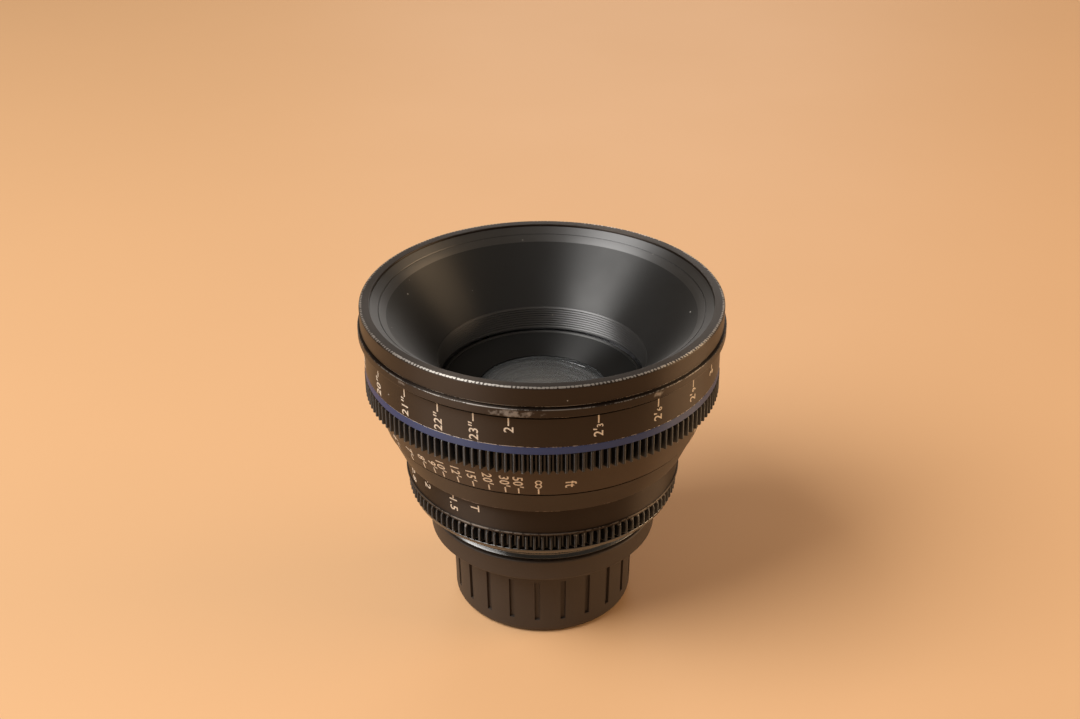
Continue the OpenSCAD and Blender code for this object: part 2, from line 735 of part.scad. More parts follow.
module lower_scale_ring() {
    slope = (lower_top_r - lower_foot_r) / lower_h;
    color([0.11, 0.095, 0.085]) difference() {
        turned([[lower_foot_r - shell_wall, lower_z], [lower_foot_r, lower_z], [lower_top_r, gear_z],
            [sleeve_r + seat_fit, gear_z], [sleeve_r + seat_fit, gear_z - flange_t],
            [lower_top_r - shell_wall - flange_t * slope, gear_z - flange_t]]);
        focus_screw_holes();
    }
}

// One blind helical groove, which a follower in a straight slot rides
module cam_groove(angle) {
    step = 6;
    spare = 4;
    count = ceil((focus_turn + 2 * spare) / step);
    first = angle - (focus_turn - focus_set) - spare;
    half = follower_r + run_fit;
    section = [[sleeve_bore_r - cut, -half], [sleeve_bore_r + cam_depth, -half],
        [sleeve_bore_r + cam_depth, half], [sleeve_bore_r - cut, half]];
    points = [for (i = [0 : count])
        let(turn = first + i * (focus_turn + 2 * spare) / count, z = follower_z + cam_rate * (angle - turn))
        for (corner = section) [corner[0] * cos(turn), corner[0] * sin(turn), z + corner[1]]];
    sides = [for (i = [0 : count - 1]) for (k = [0 : 3])
        let(low = 4 * i + k, high = 4 * i + (k + 1) % 4)
        each [[low, high + 4, low + 4], [low, high, high + 4]]];
    last = 4 * count;
    polyhedron(points, concat(sides, [[0, 2, 1], [0, 3, 2],
        [last, last + 1, last + 2], [last, last + 2, last + 3]]));
}

module focus_cam_sleeve() {
    color([0.45, 0.4, 0.28]) difference() {
        turned([[sleeve_bore_r, band_top_z + end_play], [sleeve_r, band_top_z + end_play], [sleeve_r, gear_z],
            [collar_r, gear_z], [collar_r, scale_z], [sleeve_r, scale_z],
            [sleeve_r, barrel_top_z - end_play], [sleeve_bore_r, barrel_top_z - end_play]]);
        for (i = [0 : follower_count - 1]) cam_groove(i * 360 / follower_count);
    }
}

module focus_screws() {
    color([0.35, 0.35, 0.35]) focus_screw_places()
        screw_down(focus_screw_r, focus_head_r, focus_head_h, gear_z - flange_t + screw_fit,
            scale_z + flange_t + focus_head_h);
}

module iris_ring() {
    bore_r = barrel_r + run_fit;
    lip_z = iris_cone_z + iris_lip_h;
    hub_r = (iris_teeth / 2 - tooth_root) * gear_module;
    color([0.11, 0.095, 0.085]) difference() {
        union() {
            gear(iris_teeth, bore_r, iris_z, iris_cone_z);
            turned([[bore_r, rear_top_z + end_play], [hub_r, rear_top_z + end_play], [hub_r, iris_cone_z],
                [iris_foot_r + iris_lip_d, iris_cone_z], [iris_foot_r + iris_lip_d, lip_z],
                [iris_foot_r, lip_z], [iris_top_r, iris_top_z], [barrel_r + bar_t, iris_top_z],
                [barrel_r + bar_t, band_z - end_play], [bore_r, band_z - end_play]]);
        }
        rotate([0, 0, bar_angle])
            radial_pin(stub_r + seat_fit, barrel_bore_r, barrel_r + stub_grip + seat_fit, stub_z);
    }
}

// Bar in the space between barrel and carrier; its slot lets the arm slide along as the optics move
module iris_drive_bar() {
    half = asin(bar_w / 2 / bar_r);
    color([0.5, 0.5, 0.5]) rotate([0, 0, bar_angle]) {
        difference() {
            sector(bar_r, bar_r + bar_t, bar_z, bar_top_z, -half, half);
            translate([bar_r - cut, -arm_r - run_fit, arm_z - far_travel - arm_r - window_gap])
                cube([bar_t + 2 * cut, 2 * (arm_r + run_fit), focus_travel + 2 * (arm_r + window_gap)]);
        }
        radial_pin(stub_r, bar_r + bar_t / 2, barrel_r + stub_grip, stub_z);
    }
}

// Window for the cam ring's arm in a wall, from a lower edge upwards
module arm_window(r_in, r_out, z_low) {
    reach = asin((arm_r + window_gap) / r_in);
    sector(r_in - cut, r_out + cut, z_low, arm_z + arm_r + window_gap,
        bar_angle - iris_set - reach, bar_angle + iris_turn - iris_set + reach);
}

module lens_carrier() {
    land_r = barrel_bore_r - run_fit;
    color([0.3, 0.3, 0.31]) difference() {
        turned([[base_r, low_land_z], [land_r, low_land_z], [land_r, low_land_z + land_h],
            [carrier_r, low_land_z + land_h], [carrier_r, land_z], [land_r, land_z],
            [land_r, land_z + land_h], [base_r, land_z + land_h]]);
        arm_window(base_r, carrier_r, arm_z - arm_r - window_gap);
        around(follower_count)
            radial_pin(follower_r + seat_fit, carrier_r - carrier_wall / 2, barrel_r, follower_z);
    }
}

module cam_followers() {
    color([0.75, 0.6, 0.3]) around(follower_count)
        radial_pin(follower_r, carrier_r - carrier_wall / 2,
            sleeve_bore_r + cam_depth - window_gap, follower_z);
}

module front_cell() {
    wall_r = base_r - seat_fit;
    color([0.12, 0.12, 0.13]) turned([[lens_3_r - ledge_w, base_top_z], [wall_r, base_top_z],
        [wall_r, collar_z], [collar_front_r, collar_z], [collar_front_r, collar_z + collar_front_h],
        [collar_front_r - collar_front_wall, collar_z + collar_front_h],
        [collar_front_r - collar_front_wall, lens_1_top_z], [lens_1_r + seat_fit, lens_1_top_z],
        [lens_1_r + seat_fit, lens_1_z], [lens_2_r + seat_fit, lens_1_z],
        [lens_2_r + seat_fit, lens_2_z], [lens_3_r + seat_fit, lens_2_z],
        [lens_3_r + seat_fit, lens_3_z], [lens_3_r - ledge_w, lens_3_z]]);
}

module front_bezel() {
    lip_z = lens_1_top_z + line_gap;
    rim_inner_r = collar_front_r - collar_front_wall - seat_fit;
    color([0.1, 0.1, 0.11]) turned([[lens_1_r - line_gap, lip_z], [lens_1_r, lens_1_top_z],
        [rim_inner_r, lens_1_top_z], [rim_inner_r, collar_z + collar_front_h - line_gap],
        [lens_1_r - line_gap, lip_z + line_gap]]);
}

module element_1() {
    color([0.55, 0.62, 0.68, 0.5]) element(lens_1_r, lens_1_z, lens_1_t, faces_1);
}

module element_2() {
    color([0.55, 0.62, 0.68, 0.5]) element(lens_2_r, lens_2_z, lens_2_t, faces_2);
}

module element_3() {
    color([0.55, 0.62, 0.68, 0.5]) element(lens_3_r, lens_3_z, lens_3_t, faces_3);
}

module element_4() {
    color([0.55, 0.62, 0.68, 0.5]) element(pair_r, pair_z + lens_5_t, lens_4_t, faces_4);
}

module element_5() {
    color([0.55, 0.62, 0.68, 0.5]) element(pair_r, pair_z, lens_5_t, faces_5);
}

module element_6() {
    color([0.55, 0.62, 0.68, 0.5]) element(rear_lens_r, lens_6_z, lens_6_t, faces_6);
}

module element_7() {
    color([0.55, 0.62, 0.68, 0.5]) element(rear_lens_r, lens_7_z, lens_7_t, faces_7);
}

module spacer_1_2() {
    color([0.15, 0.15, 0.15]) ring(lens_2_r - ledge_w, lens_2_r, lens_2_z + lens_2_t, lens_1_z);
}

module spacer_2_3() {
    color([0.15, 0.15, 0.15]) ring(lens_3_r - ledge_w, lens_3_r, lens_3_z + lens_3_t, lens_2_z);
}

module rear_cell() {
    flange_z = cell_top_z - rear_flange_t;
    color([0.12, 0.12, 0.13]) turned([[pair_r + seat_fit, cell_top_z], [base_r - seat_fit, cell_top_z],
        [base_r - seat_fit, flange_z], [rear_cell_r, flange_z], [rear_cell_r, retainer_z],
        [rear_lens_r + seat_fit, retainer_z], [rear_lens_r + seat_fit, ledge_z],
        [pair_r - ledge_w, ledge_z], [pair_r - ledge_w, pair_z], [pair_r + seat_fit, pair_z]]);
}

module spacer_6_7() {
    color([0.15, 0.15, 0.15]) ring(rear_lens_r - ledge_w, rear_lens_r, lens_7_z + lens_7_t, lens_6_z);
}

module rear_retainer() {
    color([0.15, 0.15, 0.15]) ring(rear_lens_r - ledge_w, rear_lens_r, retainer_z, lens_7_z);
}

// Cup that carries the blades' pivots; its skirt centres the cam ring
module iris_base() {
    skirt_r = cam_ring_r + run_fit;
    color([0.2, 0.2, 0.2]) difference() {
        turned([[iris_open_r + ledge_w, base_z], [skirt_r, base_z], [skirt_r, cell_top_z],
            [base_r - seat_fit, cell_top_z], [base_r - seat_fit, base_top_z],
            [iris_open_r + ledge_w, base_top_z]]);
        arm_window(skirt_r, base_r, cell_top_z - cut);
        around(blade_count) translate([pivot_r, 0, base_z - cut])
            cylinder(r = blade_pin_r + run_fit, h = plate_t + 2 * cut);
    }
}

// Place of a blade's drive pin at an iris turn counted from the setting shown
function drive_place(turn) =
    let(a = drive_angle + blade_ratio * (turn + iris_set))
    [pivot_r + drive_l * cos(a), drive_l * sin(a)];

// The same place seen from the turning cam ring
function cam_place(turn) =
    let(p = drive_place(turn))
    [p[0] * cos(turn) + p[1] * sin(turn), p[1] * cos(turn) - p[0] * sin(turn)];

function unit(v) = v / norm(v);

// Slot that the drive pin follows while the cam ring turns
module cam_slot() {
    steps = 16;
    half = blade_pin_r + slot_fit;
    turns = [for (i = [0 : steps]) iris_turn * i / steps - iris_set];
    sides = [for (t = turns) let(d = unit(cam_place(t + 0.1) - cam_place(t - 0.1))) [-d[1], d[0]]];
    translate([0, 0, cam_ring_z - cut]) linear_extrude(plate_t + 2 * cut) polygon(concat(
        [for (i = [0 : steps]) cam_place(turns[i]) + half * sides[i]],
        [for (i = [steps : -1 : 0]) cam_place(turns[i]) - half * sides[i]]));
    for (end = [0, steps]) translate([cam_place(turns[end])[0], cam_place(turns[end])[1], cam_ring_z - cut])
        cylinder(r = half, h = plate_t + 2 * cut, $fn = 24);
}

module iris_cam_ring() {
    color([0.5, 0.45, 0.3]) {
        difference() {
            ring(iris_open_r + ledge_w, cam_ring_r, cam_ring_z, cam_ring_z + plate_t);
            around(blade_count) cam_slot();
        }
        rotate([0, 0, bar_angle]) intersection() {
            radial_pin(arm_r, cam_ring_r - ledge_w, bar_r + bar_t, arm_z);
            ring(cam_ring_r - ledge_w, bar_r + bar_t, cam_ring_z - plate_t, cam_ring_z + 2 * plate_t);
        }
    }
}

// One blade, drawn at the setting shown; blades lie one step above each other
module iris_blade(index) {
    z = blade_z + index * blade_step;
    swing = blade_ratio * iris_set;
    color([0.16, 0.16, 0.17]) rotate([0, 0, index * blade_pitch])
        translate([pivot_r, 0, 0]) rotate([0, 0, swing]) {
            translate([-pivot_r, 0, 0])
                sector(iris_open_r, iris_open_r + blade_w, z, z + blade_t, 0, blade_arc);
            translate([iris_open_r + blade_w / 2 - pivot_r, 0, z])
                cube([pivot_r - iris_open_r - blade_w / 2, 2 * blade_eye_r, blade_t]);
            rotate([0, 0, drive_angle]) translate([0, -blade_eye_r / 2, z])
                cube([drive_l, blade_eye_r, blade_t]);
            translate([0, 0, z]) cylinder(r = blade_eye_r, h = blade_t);
            translate([0, 0, z]) cylinder(r = blade_pin_r, h = base_top_z - z - blade_step);
            rotate([0, 0, drive_angle]) translate([drive_l, 0, 0]) {
                translate([0, 0, z]) cylinder(r = blade_eye_r, h = blade_t);
                translate([0, 0, cam_ring_z + blade_step])
                    cylinder(r = blade_pin_r, h = z - cam_ring_z - blade_step);
            }
        }
}

rear_cap();
lens_mount();
mount_shim();
mount_screws();
rear_barrel();
main_barrel();
index_band();
band_grub_screws();
hood();
front_ring();
stop_ring();
front_screws();
focus_scale_ring();
accent_ring();
focus_gear();
lower_scale_ring();
focus_cam_sleeve();
focus_screws();
iris_ring();
iris_drive_bar();
lens_carrier();
cam_followers();
front_cell();
rear_cell();
front_bezel();
rear_retainer();
element_1();
element_2();
element_3();
element_4();
element_5();
element_6();
element_7();
spacer_1_2();
spacer_2_3();
spacer_6_7();
iris_base();
iris_cam_ring();
for (i = [0 : blade_count - 1]) iris_blade(i);
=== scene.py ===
"""Looks of a cinema prime lens that stands on its rear cap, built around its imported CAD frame."""

import json
import logging
import math
from collections.abc import Callable, Iterable, Sequence
from dataclasses import asdict, dataclass, field, replace
from enum import Enum
from functools import cache, reduce

import bmesh
import bpy
from mathutils import Euler, Matrix, Vector


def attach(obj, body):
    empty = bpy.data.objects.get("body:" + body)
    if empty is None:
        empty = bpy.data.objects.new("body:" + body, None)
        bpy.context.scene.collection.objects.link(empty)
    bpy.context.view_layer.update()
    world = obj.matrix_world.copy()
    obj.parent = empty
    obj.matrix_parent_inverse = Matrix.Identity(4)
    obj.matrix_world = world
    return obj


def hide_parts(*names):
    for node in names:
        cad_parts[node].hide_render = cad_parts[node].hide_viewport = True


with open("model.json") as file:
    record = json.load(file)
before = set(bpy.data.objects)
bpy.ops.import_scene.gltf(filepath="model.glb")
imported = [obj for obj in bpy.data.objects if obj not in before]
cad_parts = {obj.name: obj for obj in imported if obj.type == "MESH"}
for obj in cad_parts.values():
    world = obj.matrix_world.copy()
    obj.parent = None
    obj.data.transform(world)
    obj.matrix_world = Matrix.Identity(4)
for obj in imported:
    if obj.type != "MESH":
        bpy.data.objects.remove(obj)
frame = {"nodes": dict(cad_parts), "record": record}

LOG = logging.getLogger("prime_lens")
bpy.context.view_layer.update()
MM = 0.001
FULL_TURN = 2.0 * math.pi
SEGMENTS = 264
MERGE_DISTANCE = 1e-6
SMOOTH_ANGLE = math.radians(38.0)
FRONT_AZIMUTH = -90.0
FONT_DIGIT = 0.69
BRUSHED_TURN = 0.25
WORN_ROUGHNESS = 0.1
WORN_METALLIC = 0.85
DUST_COLOUR = (0.42, 0.4, 0.37)
DUST_ROUGHNESS = 0.4
BUMP_STRENGTH = 0.35
BUMP_DISTANCE = 0.0002
PALE_TINT = 0.97
SEAM_ANGLE = 1e-5
MARGIN = 0.1
FIT = 0.02
ROUND_STEPS = 3
TOOTH_STEPS = 2
FOOT_INCHES = 12.0
CHIP_SWING = 5.0
PATCH_SWING = 4.0
STROKE_DEPTH = 0.8
WEAR_CONTRAST = 2.5
WEAR_FADE = 0.25
SCUFF_SWING = 3.4
SCUFF_CONTRAST = 1.2
SCUFF_FADE = (1.25, 0.85)
DUST_CONTRAST = 2.0

Colour = tuple[float, float, float]
Point = tuple[float, float, float]
Corner = tuple[float, ...]
Law = tuple[float, float, float]
Mesh = bmesh.types.BMesh
Material = bpy.types.Material
Socket = bpy.types.NodeSocket


class Body(str, Enum):
    """CAD bodies that the pieces ride on."""

    CAP = "rear_cap"
    BARREL = "barrel"
    FOCUS = "focus_ring"
    IRIS = "iris_ring"
    OPTICS = "optical_unit"


class Slot(str, Enum):
    """Material slots of the record."""

    SATIN = "satin_black"
    GEAR = "gear_black"
    BLUE = "accent_blue"
    GLOSS = "gloss_black"
    HOOD = "hood_black"
    PLAIN = "plain_aluminium"
    MOUNT = "mount_steel"
    DARK_STEEL = "black_steel"
    BRASS = "brass"
    CAP = "cap_plastic"
    GLASS = "coated_glass"


class Reading(Enum):
    """Direction in which a mark on a ring reads."""

    UPWARD = 1
    DOWNWARD = -1


class NodeTree:
    """Short calls for filling a node tree."""

    def __init__(self, tree: bpy.types.NodeTree) -> None:
        """Keep the tree that is filled."""
        self.tree = tree

    def add(self, kind: str, inputs: dict | None = None, **settings: object) -> bpy.types.Node:
        """Add one node.

        Args:
            kind: Node type without the ShaderNode prefix.
            inputs: Input socket names or numbers, with a value or an output socket each.
            settings: Attributes that are set on the node.

        Returns:
            The new node.
        """
        node = self.tree.nodes.new("ShaderNode" + kind)
        for name, value in settings.items():
            setattr(node, name, value)
        for name, value in (inputs or {}).items():
            self.feed(node.inputs[name], value)
        return node

    def feed(self, socket: Socket, value: object) -> None:
        """Link an output socket to an input, or set the input's value."""
        if isinstance(value, Socket):
            self.tree.links.new(value, socket)
        else:
            socket.default_value = value

    def math(self, operation: str, *values: object, clamp: bool = False) -> Socket:
        """Return the output of one Math node."""
        inputs = dict(enumerate(values))
        return self.add("Math", inputs, operation=operation, use_clamp=clamp).outputs[0]

    def mix(self, factor: object, first: object, second: object) -> Socket:
        """Return the colour output of one Mix node."""
        node = self.add("Mix", data_type="RGBA")
        for number, value in ((0, factor), (6, first), (7, second)):
            if isinstance(value, tuple):
                value = (*value, 1.0)
            self.feed(node.inputs[number], value)
        return node.outputs[2]

    def stretch(self, value: object, low: object, high: float, to_low: float, to_high: float) -> Socket:
        """Return a value mapped from one range to another, clamped."""
        return self.add("MapRange", {0: value, 1: low, 2: high, 3: to_low, 4: to_high}).outputs[0]

    def swing(self, value: object, depth: float) -> Socket:
        """Return a value between 0 and 1 as a swing about zero."""
        return self.math("MULTIPLY_ADD", value, depth, -depth / 2.0)

    def place(self) -> Socket:
        """Return the place on the object."""
        return self.add("TexCoord").outputs["Object"]

    def noise(self, place: object, scale: object, detail: float) -> Socket:
        """Return the value of one Noise Texture node."""
        return self.add("TexNoise", {"Vector": place, "Scale": scale, "Detail": detail}).outputs[0]

    def length(self, vector: object) -> Socket:
        """Return the length of a vector."""
        return self.add("VectorMath", {0: vector}, operation="LENGTH").outputs["Value"]

    def radius(self, place: object) -> tuple[Socket, bpy.types.NodeOutputs]:
        """Return the distance of a place from the optical axis, and its three coordinates."""
        parts = self.add("SeparateXYZ", {0: place}).outputs
        return self.length(self.add("CombineXYZ", {0: parts[0], 1: parts[1]}).outputs[0]), parts

    def group(self, tree: bpy.types.NodeTree, **inputs: object) -> bpy.types.NodeOutputs:
        """Add a shared group and return its outputs."""
        return self.add("Group", inputs, node_tree=tree).outputs


Filler = Callable[[NodeTree, dict[str, Socket]], dict[str, Socket]]


def effect(**inputs: object) -> Callable[[Filler], Callable[[], bpy.types.NodeTree]]:
    """Make a shared shader group of a function that fills it.

    Args:
        inputs: Names of the group's inputs, with their default values.

    Returns:
        A decorator. The function that it returns builds the group once and hands it out.
    """

    def decorate(fill: Filler) -> Callable[[], bpy.types.NodeTree]:
        """Wrap the function that fills the group."""

        @cache
        def group() -> bpy.types.NodeTree:
            """Return the group."""
            tree = bpy.data.node_groups.new(fill.__name__, "ShaderNodeTree")
            for name, default in inputs.items():
                kind = "NodeSocketVector" if isinstance(default, tuple) else "NodeSocketFloat"
                tree.interface.new_socket(name=name, in_out="INPUT", socket_type=kind).default_value = default
            source = tree.nodes.new("NodeGroupInput")
            found = fill(NodeTree(tree), {name: source.outputs[name] for name in inputs})
            for name in found:
                tree.interface.new_socket(name=name, in_out="OUTPUT", socket_type="NodeSocketFloat")
            sink = tree.nodes.new("NodeGroupOutput")
            for name, socket in found.items():
                tree.links.new(socket, sink.inputs[name])
            return tree

        return group

    return decorate


@effect(grain_scale=3000.0, cloud_scale=60.0)
def surface_grain(nodes: NodeTree, given: dict[str, Socket]) -> dict[str, Socket]:
    """Fill the group for fine grain and slow cloudiness of a surface."""
    place = nodes.place()
    cloud = nodes.noise(place, given["cloud_scale"], 4.0)
    return {
        "grain": nodes.noise(place, given["grain_scale"], 3.0),
        "cloud": nodes.stretch(cloud, 0.3, 0.7, 0.0, 1.0),
    }


@effect(scale=2500.0)
def turning_marks(nodes: NodeTree, given: dict[str, Socket]) -> dict[str, Socket]:
    """Fill the group for the fine rings that a lathe tool leaves."""
    radius, parts = nodes.radius(nodes.place())
    section = nodes.add("CombineXYZ", {0: radius, 1: 0.0, 2: parts[2]})
    return {"lines": nodes.noise(section.outputs[0], given["scale"], 2.0)}


@effect(
    radius=0.05, height=0.1, width=0.0005, amount=0.5, chip_scale=1400.0, patch_scale=90.0, lean=0.0, strokes=0.0
)
def edge_wear(nodes: NodeTree, given: dict[str, Socket]) -> dict[str, Socket]:
    """Fill the group for a pale line along one round edge: rubbed metal, and along the iris lip also a painted
    highlight.
    """
    place = nodes.place()
    radius, parts = nodes.radius(place)
    out = nodes.math("SUBTRACT", radius, given["radius"])
    up = nodes.math("SUBTRACT", parts[2], given["height"])
    away = nodes.length(nodes.add("CombineXYZ", {0: out, 1: up}).outputs[0])
    near = nodes.math("SUBTRACT", 1.0, nodes.math("DIVIDE", away, given["width"]))
    chip = nodes.swing(nodes.noise(place, given["chip_scale"], 3.0), CHIP_SWING)
    patch = nodes.swing(nodes.noise(place, given["patch_scale"], 2.0), PATCH_SWING)
    front = nodes.math("DIVIDE", nodes.math("MULTIPLY", parts[1], -1.0), given["radius"])
    amount = nodes.swing(nodes.math("MULTIPLY_ADD", front, given["lean"], given["amount"]), 2.0)
    turn = nodes.math("ARCTAN2", parts[1], parts[0])
    stroke = nodes.math("SINE", nodes.math("MULTIPLY", turn, given["strokes"]))
    chip = nodes.math("MULTIPLY_ADD", stroke, STROKE_DEPTH, chip)
    total = nodes.math("ADD", nodes.math("ADD", near, chip), nodes.math("ADD", patch, amount))
    mask = nodes.math("MULTIPLY", total, WEAR_CONTRAST, clamp=True)
    return {"wear": nodes.math("MULTIPLY", mask, nodes.stretch(near, 0.0, WEAR_FADE, 0.0, 1.0))}


@effect(scale=300.0, size=0.12, share=0.15)
def dust_specks(nodes: NodeTree, given: dict[str, Socket]) -> dict[str, Socket]:
    """Fill the group for single pale specks of dust."""
    cells = nodes.add("TexVoronoi", {"Vector": nodes.place(), "Scale": given["scale"]})
    dot = nodes.stretch(cells.outputs["Distance"], given["size"], 0.0, 0.0, 1.0)
    chance = nodes.add("SeparateColor", {0: cells.outputs["Color"]}).outputs[0]
    kept = nodes.math("LESS_THAN", chance, given["share"])
    speck = nodes.math("MULTIPLY", dot, DUST_CONTRAST, clamp=True)
    return {"dust": nodes.math("MULTIPLY", speck, kept)}


@effect(centre=(0.0, 0.0, 0.0), size=(0.01, 0.01, 0.01), streak_scale=700.0)
def scuff_patch(nodes: NodeTree, given: dict[str, Socket]) -> dict[str, Socket]:
    """Fill the group for one rubbed patch at a place on a piece."""
    place = nodes.place()
    moved = nodes.add("VectorMath", {0: place, 1: given["centre"]}, operation="SUBTRACT")
    scaled = nodes.add("VectorMath", {0: moved.outputs[0], 1: given["size"]}, operation="DIVIDE")
    away = nodes.length(scaled.outputs[0])
    rough = nodes.swing(nodes.noise(place, given["streak_scale"], 5.0), SCUFF_SWING)
    total = nodes.math("ADD", nodes.math("SUBTRACT", 1.0, away), rough)
    inside = nodes.stretch(away, *SCUFF_FADE, 0.0, 1.0)
    mask = nodes.math("MULTIPLY", total, SCUFF_CONTRAST, clamp=True)
    return {"scuff": nodes.math("MULTIPLY", mask, inside)}


@dataclass(frozen=True)
class Wear:
    """Pale line along one round edge of a piece, in millimetres: rubbed metal, and along the iris lip also a painted
    highlight.
    """

    radius: float
    height: float
    width: float = 0.45
    amount: float = 0.5
    chip_scale: float = 1400.0
    patch_scale: float = 90.0
    lean: float = 0.0
    strokes: float = 0.0


@dataclass(frozen=True)
class Scuff:
    """Rubbed patch on a piece, in millimetres."""

    centre: Point
    size: Point


def fresh_material(name: str) -> tuple[Material, NodeTree, bpy.types.NodeInputs]:
    """Make a material with one Principled BSDF.

    Args:
        name: Name of the material.

    Returns:
        The material, its node tree and the shader's inputs.
    """
    material = bpy.data.materials.new(name)
    material.use_nodes = True
    nodes = NodeTree(material.node_tree)
    return material, nodes, material.node_tree.nodes["Principled BSDF"].inputs


@dataclass(frozen=True)
class Finish:
    """Procedural finish of a solid surface."""

    name: str
    colour: Colour
    tint: Colour
    roughness: tuple[float, float]
    metallic: float = 0.0
    grain: tuple[float, float] = (2600.0, 0.05)
    cloud_scale: float = 60.0
    turning: tuple[float, float] = (0.0, 0.0)
    bare: Colour = (0.62, 0.6, 0.57)
    wear: tuple[Wear, ...] = ()
    scuffs: tuple[Scuff, ...] = ()
    dust: tuple[float, float, float] = (0.0, 0.0, 0.0)
    coat: float = 0.0
    coat_roughness: float = 0.1
    specular: float = 0.5
    sheen_colour: Colour = (1.0, 1.0, 1.0)
    brushed: float = 0.0

    def material(self) -> Material:
        """Build the material.

        Returns:
            A new material with one Principled BSDF.
        """
        material, nodes, shader = fresh_material(self.name)
        shader["Specular IOR Level"].default_value = self.specular
        shader["Specular Tint"].default_value = (*self.sheen_colour, 1.0)
        shader["Anisotropic"].default_value = self.brushed
        shader["Anisotropic Rotation"].default_value = BRUSHED_TURN
        shader["Coat Weight"].default_value = self.coat
        shader["Coat Roughness"].default_value = self.coat_roughness
        base = nodes.group(surface_grain(), grain_scale=self.grain[0], cloud_scale=self.cloud_scale)
        colour = nodes.mix(base["cloud"], self.colour, self.tint)
        rough = nodes.stretch(base["cloud"], 0.0, 1.0, *self.roughness)
        height = nodes.math("MULTIPLY", base["grain"], self.grain[1])
        if self.turning[1]:
            lines = nodes.group(turning_marks(), scale=self.turning[0])[0]
            height = nodes.math("MULTIPLY_ADD", lines, self.turning[1], height)
        shader["Metallic"].default_value = self.metallic
        worn = self.worn(nodes)
        if worn is not None:
            colour = nodes.mix(worn, colour, self.bare)
            rough = nodes.math("MULTIPLY_ADD", worn, WORN_ROUGHNESS, rough)
            nodes.feed(shader["Metallic"], nodes.stretch(worn, 0.0, 1.0, self.metallic, WORN_METALLIC))
        if self.dust[2]:
            scale, size, share = self.dust
            specks = nodes.group(dust_specks(), scale=scale, size=size, share=share)[0]
            colour = nodes.mix(specks, colour, DUST_COLOUR)
            rough = nodes.math("MULTIPLY_ADD", specks, DUST_ROUGHNESS, rough, clamp=True)
        bump = nodes.add("Bump", {"Height": height, "Strength": BUMP_STRENGTH, "Distance": BUMP_DISTANCE})
        nodes.feed(shader["Base Color"], colour)
        nodes.feed(shader["Roughness"], rough)
        nodes.feed(shader["Normal"], bump.outputs[0])
        return material

    def variant(self, name: str, **changes: object) -> Material:
        """Build the material of a finish that differs from this one."""
        return replace(self, name=name, **changes).material()

    def worn(self, nodes: NodeTree) -> Socket | None:
        """Add the groups for rubbed edges, painted edge highlights and rubbed patches.

        Args:
            nodes: Tree of the material.

        Returns:
            The joint mask of all worn places, or None where there are none.
        """
        masks = []
        for edge in self.wear:
            sizes = {name: getattr(edge, name) * MM for name in ("radius", "height", "width")}
            masks.append(nodes.group(edge_wear(), **(asdict(edge) | sizes))[0])
        for patch in self.scuffs:
            centre, size = ([c * MM for c in part] for part in (patch.centre, patch.size))
            masks.append(nodes.group(scuff_patch(), centre=centre, size=size)[0])
        if not masks:
            return None
        return reduce(lambda joint, mask: nodes.math("MAXIMUM", joint, mask), masks)


@dataclass(frozen=True)
class GlassFinish:
    """Polished, coated glass."""

    name: str
    colour: Colour = (0.93, 0.96, 0.98)
    roughness: tuple[float, float] = (0.02, 0.035)
    ior: float = 1.6
    clear: float = 1.0
    cloud_scale: float = 70.0

    def material(self) -> Material:
        """Build the glass material with a faint haze.

        Returns:
            A new material with one Principled BSDF.
        """
        material, nodes, shader = fresh_material(self.name)
        shader["Transmission Weight"].default_value = self.clear
        shader["Metallic"].default_value = 0.0
        shader["IOR"].default_value = self.ior
        cloud = nodes.group(surface_grain(), cloud_scale=self.cloud_scale)["cloud"]
        tint = tuple(PALE_TINT * c for c in self.colour)
        nodes.feed(shader["Base Color"], nodes.mix(cloud, self.colour, tint))
        nodes.feed(shader["Roughness"], nodes.stretch(cloud, 0.0, 1.0, *self.roughness))
        return material


